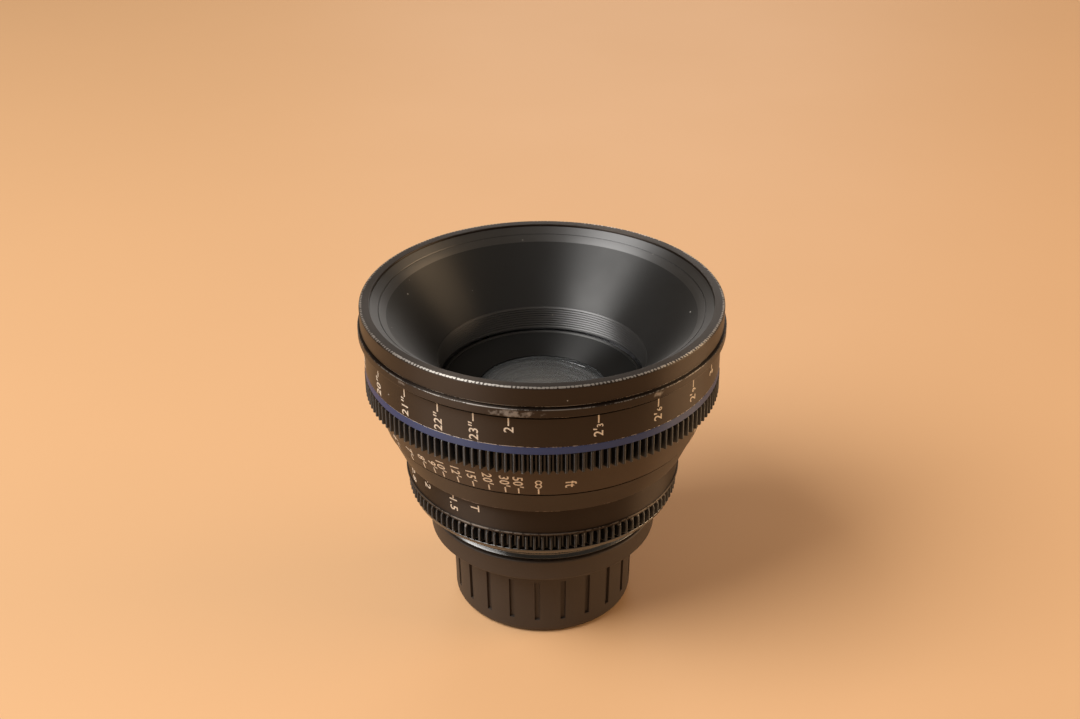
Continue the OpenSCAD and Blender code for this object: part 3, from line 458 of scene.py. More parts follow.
class Workshop:
    """Shapes bmeshes and turns them into finished pieces."""

    @classmethod
    def outline(cls, points: Sequence[Corner]) -> Mesh:
        """Draw a half section and round its corners.

        Args:
            points: Radius and height of each corner in millimetres and, where it is round, its radius and steps.

        Returns:
            A bmesh with the edges of the section in the XZ plane, without those on the axis.
        """
        bm = bmesh.new()
        corners = [bm.verts.new((p[0] * MM, 0.0, p[1] * MM)) for p in points]
        bm.faces.new(corners)
        for corner, point in zip(corners, points):
            if len(point) > 2:
                steps = int(point[3]) if len(point) > 3 else ROUND_STEPS
                cls.soften(bm, [corner], point[2], steps, "VERTICES")
        bmesh.ops.delete(bm, geom=bm.faces[:], context="FACES_ONLY")
        on_axis = [e for e in bm.edges if all(abs(v.co.x) < MERGE_DISTANCE for v in e.verts)]
        bmesh.ops.delete(bm, geom=on_axis, context="EDGES")
        return bm

    @staticmethod
    def close(bm: Mesh) -> Mesh:
        """Merge doubles and turn all faces outwards."""
        bmesh.ops.remove_doubles(bm, verts=bm.verts[:], dist=MERGE_DISTANCE)
        bmesh.ops.recalc_face_normals(bm, faces=bm.faces[:])
        if bm.calc_volume(signed=True) < 0.0:
            bmesh.ops.reverse_faces(bm, faces=bm.faces[:])
        return bm

    @classmethod
    def lathe(cls, points: Sequence[Corner], segments: int = SEGMENTS, start: float = 0.0) -> Mesh:
        """Turn a half section about the optical axis.

        Args:
            points: Corners of the section as for outline.
            segments: Steps of the full turn.
            start: Azimuth of the first step in degrees.

        Returns:
            The closed ring.
        """
        bm = cls.outline(points)
        turn = Matrix.Rotation(math.radians(start), 3, "Z")
        bmesh.ops.rotate(bm, verts=bm.verts[:], cent=(0.0, 0.0, 0.0), matrix=turn)
        bmesh.ops.spin(
            bm,
            geom=bm.verts[:] + bm.edges[:],
            cent=(0.0, 0.0, 0.0),
            axis=(0.0, 0.0, 1.0),
            angle=FULL_TURN,
            steps=segments,
            use_merge=True,
        )
        return cls.close(bm)

    @classmethod
    def gear(cls, teeth: int, bore: float, low: float, high: float, edge: float, end: float) -> Mesh:
        """Cut a straight gear of the lens's module.

        Args:
            teeth: Number of teeth.
            bore: Radius of the bore in millimetres.
            low: Height of the lower face in millimetres.
            high: Height of the upper face in millimetres.
            edge: Rounding of the tooth edges in millimetres.
            end: Rounding of the upper end of each tooth in millimetres.

        Returns:
            The gear, from one tooth that is repeated round the axis.
        """
        shape = ToothShape(teeth)
        bm = bmesh.new()
        corners = [
            bm.verts.new((r * MM * math.cos(a), r * MM * math.sin(a), low * MM)) for r, a in shape.corners(bore)
        ]
        base = bm.faces.new(corners)
        lifted = bmesh.ops.extrude_face_region(bm, geom=[base])["geom"]
        moved = [v for v in lifted if isinstance(v, bmesh.types.BMVert)]
        bmesh.ops.translate(bm, verts=moved, vec=(0.0, 0.0, (high - low) * MM))
        bm.normal_update()
        half = math.pi / teeth
        seams = [f for f in bm.faces if cls.is_seam(f, half) or cls.is_seam(f, -half)]
        bmesh.ops.delete(bm, geom=seams, context="FACES_ONLY")
        brow_at = (shape.tip - MARGIN, high - MARGIN)
        brow = [e for e in bm.edges if all(cls.is_beyond(v, *brow_at) for v in e.verts)]
        cls.soften(bm, brow, end, TOOTH_STEPS)
        crest_at = (shape.root + MARGIN, low - MARGIN)
        crest = [e for e in bm.edges if any(cls.is_beyond(v, *crest_at) for v in e.verts)]
        cls.soften(bm, crest, edge, TOOTH_STEPS)
        bmesh.ops.spin(
            bm,
            geom=bm.verts[:] + bm.edges[:] + bm.faces[:],
            cent=(0.0, 0.0, 0.0),
            axis=(0.0, 0.0, 1.0),
            angle=FULL_TURN * (teeth - 1) / teeth,
            steps=teeth - 1,
            use_duplicate=True,
        )
        return cls.close(bm)

    @staticmethod
    def is_beyond(vert: bmesh.types.BMVert, radius: float, height: float) -> bool:
        """Tell whether a vertex lies beyond a radius and above a height in millimetres."""
        return math.hypot(vert.co.x, vert.co.y) > radius * MM and vert.co.z > height * MM

    @staticmethod
    def soften(bm: Mesh, geom: list, offset: float, segments: int, affect: str = "EDGES") -> None:
        """Bevel edges or corners by an offset in millimetres."""
        bmesh.ops.bevel(
            bm,
            geom=geom,
            offset=offset * MM,
            offset_type="OFFSET",
            segments=segments,
            profile=0.5,
            affect=affect,
            material=-1,
        )

    @staticmethod
    def is_seam(face: bmesh.types.BMFace, angle: float) -> bool:
        """Tell whether a face lies in the plane at an angle between two teeth."""
        return all(abs(math.atan2(v.co.y, v.co.x) - angle) < SEAM_ANGLE for v in face.verts)

    @staticmethod
    def piece(
        bm: Mesh,
        name: str,
        body: Body,
        slot: Slot,
        materials: Iterable[Material],
        stands_for: Iterable[str] = (),
    ) -> bpy.types.Object:
        """Make an object of a bmesh, dress it and set it on its body.

        Args:
            bm: Finished shape, which is used up.
            name: Name of the piece.
            body: Body that it rides on.
            slot: Material slot of the record; not used.
            materials: Its materials in the order of its faces' numbers.
            stands_for: CAD nodes that it replaces.

        Returns:
            The new object.
        """
        mesh = bpy.data.meshes.new(name)
        bm.to_mesh(mesh)
        bm.free()
        mesh.shade_smooth()
        mesh.set_sharp_from_angle(angle=SMOOTH_ANGLE)
        for material in materials:
            mesh.materials.append(material)
        thing = bpy.data.objects.new(name, mesh)
        bpy.context.scene.collection.objects.link(thing)
        weighted = thing.modifiers.new("even_normals", "WEIGHTED_NORMAL")
        weighted.keep_sharp = True
        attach(thing, body.value)
        nodes = tuple(stands_for)
        if nodes:
            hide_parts(*nodes)
        LOG.info("%s rides on %s and stands for %s", name, body.value, ", ".join(nodes) or "itself")
        return thing


@dataclass(frozen=True)
class ToothShape:
    """Straight-flanked tooth of a standard rack, in millimetres."""

    teeth: int
    module: float = 0.8
    root_depth: float = 1.25
    flank: float = math.radians(20.0)

    @property
    def pitch(self) -> float:
        """Radius of the pitch circle."""
        return self.teeth * self.module / 2.0

    @property
    def root(self) -> float:
        """Radius of the tooth roots."""
        return self.pitch - self.root_depth * self.module

    @property
    def tip(self) -> float:
        """Radius of the tooth tips."""
        return self.pitch + self.module

    def corners(self, bore: float) -> list[tuple[float, float]]:
        """Return radius and angle of each corner of one tooth's slice of the gear."""
        half = math.pi / self.teeth
        quarter = half / 2.0
        lean = math.tan(self.flank) * self.module / self.pitch
        tip = quarter - lean
        foot = quarter + lean * self.root_depth
        outer = [(self.root, -half), (self.root, -foot), (self.tip, -tip), (self.tip, tip), (self.root, foot)]
        return [(bore, -half), *outer, (self.root, half), (bore, half)]


@dataclass(frozen=True)
class ScaleFace:
    """Turned surface that carries marks, from its lower to its upper edge, in millimetres."""

    low: tuple[float, float]
    high: tuple[float, float]

    def place(self, angle: float, along: float, aside: float, proud: float) -> Vector:
        """Find a point near the surface.

        Args:
            angle: Direction in degrees from the front, rising to the right.
            along: Distance up the slope from the lower edge.
            aside: Distance to the right along the surface.
            proud: Distance outwards from the surface.

        Returns:
            The point in metres.
        """
        run = Vector((self.high[0] - self.low[0], self.high[1] - self.low[1]))
        length = run.length
        run.normalize()
        radius = self.low[0] + run.x * along + run.y * proud
        height = self.low[1] + run.y * along - run.x * proud
        turn = math.radians(angle + FRONT_AZIMUTH) + aside / (self.low[0] + run.x * length / 2.0)
        return Vector((radius * math.cos(turn), radius * math.sin(turn), height)) * MM

    @property
    def length(self) -> float:
        """Length of the slope."""
        return math.hypot(self.high[0] - self.low[0], self.high[1] - self.low[1])


@dataclass
class Marks:
    """Painted marks of one ring, gathered into one mesh."""

    face: ScaleFace
    reading: Reading
    thickness: float = 0.05
    curve_steps: int = 3
    letter_gap: float = 1.06
    letter_bold: float = 0.012
    inch_share: float = 0.68
    inch_gap: float = 0.25
    loop_steps: int = 28
    loop_hole: float = 0.62
    loop_pitch: float = 0.82
    bm: Mesh = field(default_factory=bmesh.new)

    def lay(self, part: Mesh, angle: float, along: float) -> None:
        """Lay a flat shape on the ring.

        Args:
            part: Shape in millimetres: X along its reading direction, Y its upward direction, Z outwards.
            angle: Direction of the shape's origin in degrees from the front.
            along: Distance of the shape's origin up the slope.
        """
        sign = self.reading.value
        for vert in part.verts:
            vert.co = self.face.place(angle, along + sign * vert.co.x, -sign * vert.co.y, vert.co.z)
        mesh = bpy.data.meshes.new("mark")
        part.to_mesh(mesh)
        part.free()
        self.bm.from_mesh(mesh)
        bpy.data.meshes.remove(mesh)

    def tick(self, angle: float, along: float, length: float, width: float = 0.45) -> None:
        """Paint a straight tick up the slope from a given height."""
        bar = bmesh.new()
        bmesh.ops.create_cube(bar, size=1.0)
        bmesh.ops.scale(bar, verts=bar.verts[:], vec=(length, width, self.thickness))
        shift = (self.reading.value * length / 2.0, 0.0, 0.0)
        bmesh.ops.translate(bar, verts=bar.verts[:], vec=shift)
        self.lay(bar, angle, along)

    def label(
        self, text: str, angle: float, along: float, size: float, hang: bool = False, line: float = 0.0
    ) -> float:
        """Paint a number.

        Args:
            text: The number.
            angle: Direction of its middle in degrees from the front.
            along: Distance of its lower end up the slope, or of its upper end where it hangs.
            size: Height of a digit in millimetres.
            hang: Whether the number hangs below that distance.
            line: Height of the line of text whose foot it shares, where that is more than its own.

        Returns:
            The length of the number up the slope.
        """
        curve = bpy.data.curves.new("label", "FONT")
        curve.body = text
        curve.size = 1.0
        curve.extrude = 0.5
        curve.resolution_u = self.curve_steps
        curve.space_character = self.letter_gap
        curve.offset = self.letter_bold
        holder = bpy.data.objects.new("label", curve)
        bpy.context.scene.collection.objects.link(holder)
        bpy.context.view_layer.update()
        mesh = bpy.data.meshes.new_from_object(holder)
        bpy.data.objects.remove(holder)
        bpy.data.curves.remove(curve)
        part = bmesh.new()
        part.from_mesh(mesh)
        bpy.data.meshes.remove(mesh)
        scale = size / FONT_DIGIT
        low = min(v.co.x for v in part.verts)
        high = max(v.co.x for v in part.verts)
        run = (high - low) * scale
        near = low if self.reading is Reading.UPWARD else high
        bmesh.ops.translate(part, verts=part.verts[:], vec=(-near, 0.0, 0.0))
        bmesh.ops.scale(part, verts=part.verts[:], vec=(scale, scale, self.thickness))
        bmesh.ops.translate(part, verts=part.verts[:], vec=(0.0, -max(line, size) / 2.0, 0.0))
        self.lay(Workshop.close(part), angle, along - run if hang else along)
        return run

    def distance(self, text: str, angle: float, along: float, size: float, hang: bool) -> None:
        """Paint a distance in feet, with its inches smaller on the side of the tick.

        Args:
            text: Feet and a prime, inches and two primes, or feet, a prime and inches.
            angle: Direction of its middle in degrees from the front.
            along: Distance of its end beside the tick up the slope.
            size: Height of a digit in millimetres.
            hang: Whether the tick is above the number.
        """
        feet, prime, inches = text.partition("′")
        if inches:
            run = self.label(inches, angle, along, self.inch_share * size, hang, size) + self.inch_gap
            along += -run if hang else run
        self.label(feet + prime, angle, along, size, hang)

    def infinity(self, angle: float, along: float, size: float) -> None:
        """Paint a sign for infinity as two linked rings, read along the slope."""
        for step in (0.0, 1.0):
            loop = bmesh.new()
            bmesh.ops.create_circle(loop, cap_ends=False, radius=size / 2.0, segments=self.loop_steps)
            ring = bmesh.ops.extrude_edge_only(loop, edges=loop.edges[:])["geom"]
            inner = [v for v in ring if isinstance(v, bmesh.types.BMVert)]
            bmesh.ops.scale(loop, verts=inner, vec=(self.loop_hole, self.loop_hole, 1.0))
            bmesh.ops.solidify(loop, geom=loop.faces[:], thickness=self.thickness)
            middle = along + size / 2.0 + step * size * self.loop_pitch
            self.lay(Workshop.close(loop), angle, middle)

    def piece(self, name: str, body: Body, slot: Slot, material: Material) -> bpy.types.Object:
        """Make one piece of all marks laid so far."""
        return Workshop.piece(self.bm, name, body, slot, [material])


def grey(level: float) -> Colour:
    """Return a neutral colour."""
    return (level, level, level)


class Finishes:
    """All materials of the lens, built once."""

    def __init__(self) -> None:
        """Build the materials."""
        satin = Finish(
            "satin_finish",
            (0.004, 0.0020, 0.0012),
            (0.006, 0.0030, 0.0018),
            (0.44, 0.5),
            grain=(3000.0, 0.08),
            coat=0.3,
            coat_roughness=0.28,
            specular=0.45,
            sheen_colour=(1.0, 0.8, 0.66),
            brushed=0.93,
        )
        turned = replace(satin, grain=(2200.0, 0.10), turning=(1800.0, 0.25))
        black = Finish(
            "gear_finish",
            (0.003, 0.0026, 0.0023),
            (0.005, 0.0044, 0.004),
            (0.5, 0.56),
            bare=(0.3, 0.28, 0.26),
            specular=1.0,
            brushed=0.95,
        )
        self.front = turned.variant(
            "front_ring_finish",
            wear=(
                Wear(56.5, 109.45, 0.45, 0.26, 1300.0, lean=0.28, strokes=300.0),
                Wear(57.0, 103.3, 0.28, 0.34, 1800.0, lean=0.15),
            ),
            dust=(420.0, 0.1, 0.05),
            bare=(0.5, 0.48, 0.45),
        )
        self.stop = turned.variant(
            "stop_ring_finish",
            wear=(Wear(57.75, 102.8, 0.28, 0.34, 1800.0, lean=0.15), Wear(57.75, 100.0, 0.25, 0.0)),
            scuffs=(
                Scuff((-8.5, -57.1, 101.2), (8.5, 2.5, 1.3)),
                Scuff((34.0, -46.6, 101.6), (2.2, 2.5, 0.9)),
                Scuff((-41.0, -40.6, 101.9), (1.6, 2.0, 0.6)),
            ),
            bare=black.bare,
        )
        self.scale = satin.variant(
            "scale_ring_finish", wear=(Wear(56.2, 89.2, 0.28, 0.5, 900.0, 40.0),), dust=(260.0, 0.09, 0.08)
        )
        self.lower = satin.variant(
            "lower_ring_finish",
            colour=(0.020, 0.012, 0.007),
            tint=(0.026, 0.016, 0.0095),
            dust=(260.0, 0.08, 0.05),
        )
        self.band = satin.variant("band_finish", wear=(Wear(46.6, 60.3, 0.25, 0.05),), bare=(0.25, 0.2, 0.17))
        self.iris = satin.variant(
            "iris_ring_finish",
            roughness=black.roughness,
            coat=0.15,
            brushed=black.brushed,
            # The first edge line is a painted highlight all along the lip, with chips of rubbed metal in it; the pale
            # colour given below is its colour.
            wear=(Wear(44.7, 50.6, 0.36, 0.62, 1000.0, 40.0), Wear(45.0, 60.0, 0.25, 0.05)),
            bare=(0.19, 0.16, 0.135),
        )
        self.gear = black.variant("gear_finish", wear=(Wear(56.4, 80.1, 0.35, 0.1, 800.0),))
        self.iris_gear = black.variant("iris_gear_finish", wear=(Wear(43.6, 48.4, 0.6, 0.05, 800.0),))
        self.blue = Finish(
            "blue_ring_finish", (0.014, 0.034, 0.120), (0.020, 0.044, 0.150), (0.4, 0.48), specular=0.6, brushed=0.9
        ).material()
        self.gloss = Finish(
            "gloss_finish", grey(0.003), grey(0.005), (0.17, 0.24), coat=1.0, coat_roughness=0.2, specular=1.0
        ).material()
        hood = Finish(
            "hood_finish",
            (0.005, 0.005, 0.0051),
            (0.007, 0.007, 0.0072),
            (0.47, 0.55),
            turning=(3200.0, 0.16),
            dust=(300.0, 0.1, 0.1),
            specular=0.75,
            brushed=0.85,
        )
        self.hood = hood.material()
        self.ridges = hood.variant("ridge_finish", colour=(0.14, 0.14, 0.142), tint=(0.17, 0.17, 0.172), metallic=1.0)
        self.cell = hood.variant("cell_finish", colour=grey(0.1), tint=grey(0.13), metallic=1.0)
        deep = replace(hood, colour=grey(0.003), tint=grey(0.005))
        self.baffle = deep.variant("baffle_finish", specular=0.12)
        self.bezel = deep.variant("bezel_finish", specular=0.42)
        self.cap = Finish(
            "cap_finish",
            (0.041, 0.030, 0.023),
            (0.050, 0.037, 0.029),
            (0.48, 0.58),
            specular=0.36,
            grain=(2400.0, 0.35),
            dust=(240.0, 0.08, 0.06),
        ).material()
        self.paint = Finish(
            "mark_paint", (0.72, 0.66, 0.57), (0.60, 0.54, 0.46), (0.5, 0.65), cloud_scale=900.0
        ).material()
        self.glass = GlassFinish("coated_glass_finish").material()
        self.front_glass = GlassFinish("front_glass_finish", roughness=(0.07, 0.1), clear=0.96).material()
        metal = Finish(
            "plain_metal_finish", (0.3, 0.3, 0.31), (0.36, 0.36, 0.37), (0.3, 0.42), 1.0, turning=(2000.0, 0.3)
        )
        steel = metal.variant("mount_steel_finish", colour=(0.52, 0.51, 0.49), tint=(0.6, 0.59, 0.57))
        dark = metal.variant("dark_steel_finish", colour=(0.03, 0.03, 0.032), tint=(0.045, 0.045, 0.047))
        brass = metal.variant("brass_finish", colour=(0.5, 0.36, 0.14), tint=(0.58, 0.43, 0.19))
        self.by_slot = {
            Slot.SATIN: self.lower,
            Slot.GEAR: self.gear,
            Slot.BLUE: self.blue,
            Slot.GLOSS: self.gloss,
            Slot.HOOD: self.cell,
            Slot.CAP: self.cap,
            Slot.GLASS: self.glass,
            Slot.PLAIN: metal.material(),
            Slot.MOUNT: steel,
            Slot.DARK_STEEL: dark,
            Slot.BRASS: brass,
        }
        self.by_node = {"index_band": self.band}

    def dress_nodes(self) -> None:
        """Give every CAD node its own finish or that of its slot."""
        slots = {part["node"]: Slot(part["material_slot"]) for part in frame["record"]["subparts"]}
        for name, thing in frame["nodes"].items():
            thing.data.materials.clear()
            thing.data.materials.append(self.by_node.get(name, self.by_slot[slots[name]]))
            LOG.info("%s is dressed as %s", name, slots[name].value)


@dataclass
class RearCap:
    """Push-on cup under the mount, in millimetres."""

    foot: float = 29.6
    top: float = 30.1
    flange: float = 37.2
    cup_height: float = 27.5
    step: float = 2.5
    height: float = 34.5
    floor: float = 2.2
    bore: float = 27.06
    tab_bore: float = 33.3
    foot_round: float = 2.6
    grooves: int = 22
    groove_low: float = 5.5
    groove_high: float = 21.0
    groove_depth: float = 0.8
    groove_lean: float = 0.1
    groove_turn: float = -3.6
    columns: int = 10
    wall_margin: float = 0.5

    def section(self) -> list[Corner]:
        """Return the corners of the cup's half section."""
        seat = self.cup_height + self.step
        shoulder = self.cup_height - self.step
        lean = (self.top - self.foot) / (shoulder - self.foot_round)
        low_r = self.foot + lean * (self.groove_low - self.foot_round)
        high_r = self.foot + lean * (self.groove_high - self.foot_round)
        return [
            (0.0, 0.0),
            (self.foot, 0.0, self.foot_round, 6),
            (low_r, self.groove_low),
            (high_r, self.groove_high),
            (self.top, shoulder, 0.5, 3),
            (self.flange, self.cup_height, 0.5, 3),
            (self.flange, self.height, 0.6, 4),
            (self.tab_bore, self.height, 0.3, 2),
            (self.tab_bore, seat),
            (self.bore, seat, 0.2, 2),
            (self.bore, self.floor),
            (0.0, self.floor),
        ]

    def build(self, finishes: Finishes) -> None:
        """Build the cap with its grip grooves."""
        column = 360.0 / (self.grooves * self.columns)
        first = FRONT_AZIMUTH + self.groove_turn
        start = first - column * self.columns / 2.0
        bm = Workshop.lathe(self.section(), self.grooves * self.columns, start)
        pitch = 360.0 / self.grooves
        walls = []
        for face in bm.faces:
            middle = face.calc_center_median()
            high = self.groove_low * MM < middle.z < self.groove_high * MM
            outside = math.hypot(middle.x, middle.y) > (self.bore + self.wall_margin) * MM
            turn = math.degrees(math.atan2(middle.y, middle.x)) - first
            offset = (turn + pitch / 2.0) % pitch - pitch / 2.0
            if high and outside and abs(offset) < column:
                walls.append(face)
        lean, depth = self.groove_lean * MM, self.groove_depth * MM
        bmesh.ops.inset_region(bm, faces=walls, thickness=lean, depth=-depth, use_even_offset=True)
        Workshop.piece(bm, "rear_cap_cup", Body.CAP, Slot.CAP, [finishes.cap], ["rear_cap"])


@dataclass
class RearBarrel:
    """Glossy ring with a skirt round the mount, in millimetres."""

    bore: float = 24.8
    skirt_bore: float = 33.3
    skirt: float = 37.4
    skirt_low: float = 35.8
    chamfer: float = 1.2
    top: float = 43.2
    seat: float = 40.52
    low: float = 38.4
    cone_high: float = 42.5
    floor: float = 41.6
    high: float = 43.5

    def build(self, finishes: Finishes) -> None:
        """Build the ring."""
        section = [
            (self.bore, self.low, 0.3),
            (self.skirt_bore, self.low),
            (self.skirt_bore, self.skirt_low),
            (self.skirt, self.skirt_low, 0.25, 4),
            (self.skirt - self.chamfer, self.skirt_low + self.chamfer, 0.5, 4),
            (self.top, self.cone_high, 0.25, 3),
            (self.top, self.high, 0.25, 3),
            (self.seat, self.high),
            (self.seat, self.floor),
            (self.bore, self.floor),
        ]
        bm = Workshop.lathe(section)
        Workshop.piece(bm, "rear_barrel_ring", Body.BARREL, Slot.GLOSS, [finishes.gloss], ["rear_barrel"])


@dataclass
class IrisRing:
    """Iris gear and scale cone, in millimetres and degrees."""

    teeth: int = 108
    bore: float = 40.56
    hub_low: float = 43.55
    gear_low: float = 44.1
    gear_high: float = 49.8
    tooth_high: float = 49.1
    tooth_edge: float = 0.2
    tooth_end: float = 1.4
    lip: float = 44.7
    lip_high: float = 50.6
    foot: float = 44.2
    top: float = 45.0
    high: float = 60.0
    collar: float = 42.5
    collar_high: float = 60.25
    hub_gap: float = 0.05
    hub_overlap: float = 0.6
    tick: float = 1.9
    digit: float = 2.9
    edge_gap: float = 0.35
    mark_gap: float = 0.3
    letter_rise: float = 0.5
    open_angle: float = -38.0
    letter_angle: float = -27.6
    law: float = 62.0
    fastest: float = 1.5
    stops: tuple[str, ...] = ("1.5", "2", "2.8", "4", "5.6", "8", "11", "16", "22")
    bare_stops: tuple[str, ...] = ("11", "22")

    def build(self, finishes: Finishes) -> None:
        """Build the gear, the cone and the marks."""
        hub = ToothShape(self.teeth).root
        neck = hub - self.hub_gap
        section = [
            (self.bore, self.hub_low),
            (neck, self.hub_low, 0.2),
            (neck, self.gear_high),
            (self.lip, self.gear_high, 0.25, 3),
            (self.lip, self.lip_high, 0.2, 3),
            (self.foot, self.lip_high, 0.1, 2),
            (self.top, self.high, 0.2, 3),
            (self.collar, self.high),
            (self.collar, self.collar_high),
            (self.bore, self.collar_high),
        ]
        cone = Workshop.lathe(section)
        Workshop.piece(cone, "iris_scale_cone", Body.IRIS, Slot.SATIN, [finishes.iris], ["iris_ring"])
        gear = Workshop.gear(
            self.teeth, hub - self.hub_overlap, self.gear_low, self.tooth_high, self.tooth_edge, self.tooth_end
        )
        Workshop.piece(gear, "iris_gear_teeth", Body.IRIS, Slot.SATIN, [finishes.iris_gear])
        face = ScaleFace((self.foot, self.lip_high), (self.top, self.high))
        marks = Marks(face, Reading.DOWNWARD)
        start = face.length - self.edge_gap - self.tick
        for stop in self.stops:
            angle = self.open_angle - self.law * (1.0 - self.fastest / float(stop))
            marks.tick(angle, start, self.tick)
            if stop not in self.bare_stops:
                marks.label(stop, angle, start - self.mark_gap, self.digit, hang=True)
        marks.label("T", self.letter_angle, start + self.letter_rise, self.digit, hang=True)
        marks.piece("iris_numbers", Body.IRIS, Slot.SATIN, finishes.paint)


@dataclass
class IndexBand:
    """Index line of the fixed band between the two turning rings, in millimetres and degrees."""

    low: tuple[float, float] = (46.6, 60.3)
    high: tuple[float, float] = (50.2, 68.5)
    index: float = -83.4
    line_gap: float = 0.3
    line_width: float = 0.5

    def build(self, finishes: Finishes) -> None:
        """Paint the index line."""
        marks = Marks(ScaleFace(self.low, self.high), Reading.UPWARD)
        length = marks.face.length - 2.0 * self.line_gap
        marks.tick(self.index, self.line_gap, length, self.line_width)
        marks.piece("index_line", Body.BARREL, Slot.SATIN, finishes.paint)


@dataclass
class FocusRing:
    """Scale rings, blue ring and gear that turn together, in millimetres and degrees."""

    teeth: int = 139
    tooth_edge: float = 0.2
    tooth_end: float = 0.5
    collar: float = 45.52
    sleeve: float = 44.22
    shell: float = 53.6
    scale: float = 56.2
    scale_low: float = 89.2
    scale_high: float = 99.7
    step_height: float = 0.9
    step_depth: float = 0.7
    flange: float = 2.2
    accent_low: float = 86.8
    gear_low: float = 80.1
    lower_low: float = 69.1
    lower_top: float = 54.5
    lower_foot: float = 50.7
    wall: float = 2.6
    upper_tick: float = 2.65
    upper_digit: float = 2.8
    lower_tick: tuple[float, float] = (0.6, 2.4)
    lower_digit: float = 2.9
    unit_angle: float = 9.3
    unit_share: float = 1.15
    upper_gap: float = 0.35
    lower_gap: float = 0.3
    infinity_drop: float = 4.6
    infinity_sizes: tuple[float, float] = (2.3, 2.1)
    foot_metres: float = 0.3048
    law_upper: Law = (98.0, 0.117, 189.0)
    law_lower: Law = (100.0, 0.117, -1.3)
    upper: str = "18″ 19″ 20″ 21″ 22″ 23″ 2 2′3 2′6 2′9 3 3′6 4 5 6 7 8 10 15 30"
    lower: str = "50′ 30′ 20′ 15′ 12′ 10′ 9′ 8′ 7′ 6′ 5′ 4′ 3′6 3′ 2′6 2′ 20″ 18″"

    def angle(self, text: str, law: Law) -> float:
        """Return the direction of a distance mark in degrees from the front."""
        rate, offset, far = law
        if text.endswith("″"):
            feet = float(text[:-1]) / FOOT_INCHES
        else:
            whole, _, inches = text.partition("′")
            feet = float(whole) + float(inches or 0.0) / FOOT_INCHES
        return far - rate / (feet * self.foot_metres - offset)

    def build(self, finishes: Finishes) -> None:
        """Build the four rings and their numbers."""
        shelf = self.scale_low + self.flange
        step = self.scale_high - self.step_height
        section = [
            (self.sleeve, self.scale_low),
            (self.scale, self.scale_low, 0.2, 3),
            (self.scale, step, 0.15, 2),
            (self.scale - self.step_depth, step),
            (self.scale - self.step_depth, self.scale_high),
            (self.shell, self.scale_high),
            (self.shell, shelf),
            (self.sleeve, shelf),
        ]
        ring = Workshop.lathe(section)
        Workshop.piece(ring, "distance_ring", Body.FOCUS, Slot.SATIN, [finishes.scale], ["focus_scale_ring"])
        section = [
            (self.collar, self.accent_low),
            (self.scale, self.accent_low, 0.12, 2),
            (self.scale, self.scale_low, 0.12, 2),
            (self.collar, self.scale_low),
        ]
        ring = Workshop.lathe(section)
        Workshop.piece(ring, "blue_ring", Body.FOCUS, Slot.BLUE, [finishes.blue], ["accent_ring"])
        gear = Workshop.gear(
            self.teeth, self.collar, self.gear_low, self.accent_low, self.tooth_edge, self.tooth_end
        )
        Workshop.piece(gear, "focus_gear_teeth", Body.FOCUS, Slot.GEAR, [finishes.gear], ["focus_gear"])
        lean = (self.lower_top - self.lower_foot) / (self.gear_low - self.lower_low)
        section = [
            (self.lower_foot - self.wall, self.lower_low),
            (self.lower_foot, self.lower_low, 0.25, 3),
            (self.lower_top, self.gear_low, 0.1, 2),
            (self.sleeve, self.gear_low),
            (self.sleeve, self.gear_low - self.flange),
            (self.lower_top - self.wall - lean * self.flange, self.gear_low - self.flange),
        ]
        ring = Workshop.lathe(section)
        Workshop.piece(ring, "lower_distance_ring", Body.FOCUS, Slot.SATIN, [finishes.lower], ["lower_scale_ring"])
        self.number(finishes)

    def number(self, finishes: Finishes) -> None:
        """Paint the two distance scales."""
        face = ScaleFace((self.scale, self.scale_low), (self.scale, self.scale_high - self.step_height))
        marks = Marks(face, Reading.UPWARD)
        start = face.length - self.upper_tick
        for text in self.upper.split():
            angle = self.angle(text, self.law_upper)
            marks.tick(angle, start, self.upper_tick)
            marks.distance(text, angle, start - self.upper_gap, self.upper_digit, hang=True)
        marks.tick(self.law_upper[2], start, self.upper_tick)
        marks.infinity(self.law_upper[2], start - self.infinity_drop, self.infinity_sizes[0])
        marks.piece("distance_numbers", Body.FOCUS, Slot.SATIN, finishes.paint)
        face = ScaleFace((self.lower_foot, self.lower_low), (self.lower_top, self.gear_low))
        marks = Marks(face, Reading.DOWNWARD)
        start = sum(self.lower_tick) + self.lower_gap
        for text in self.lower.split():
            angle = self.angle(text, self.law_lower)
            marks.tick(angle, *self.lower_tick)
            marks.distance(text, angle, start, self.lower_digit, hang=False)
        marks.tick(self.law_lower[2], *self.lower_tick)
        marks.infinity(self.law_lower[2], start, self.infinity_sizes[1])
        marks.label("ft", self.unit_angle, start, self.unit_share * self.lower_digit)
        marks.piece("lower_distance_numbers", Body.FOCUS, Slot.SATIN, finishes.paint)


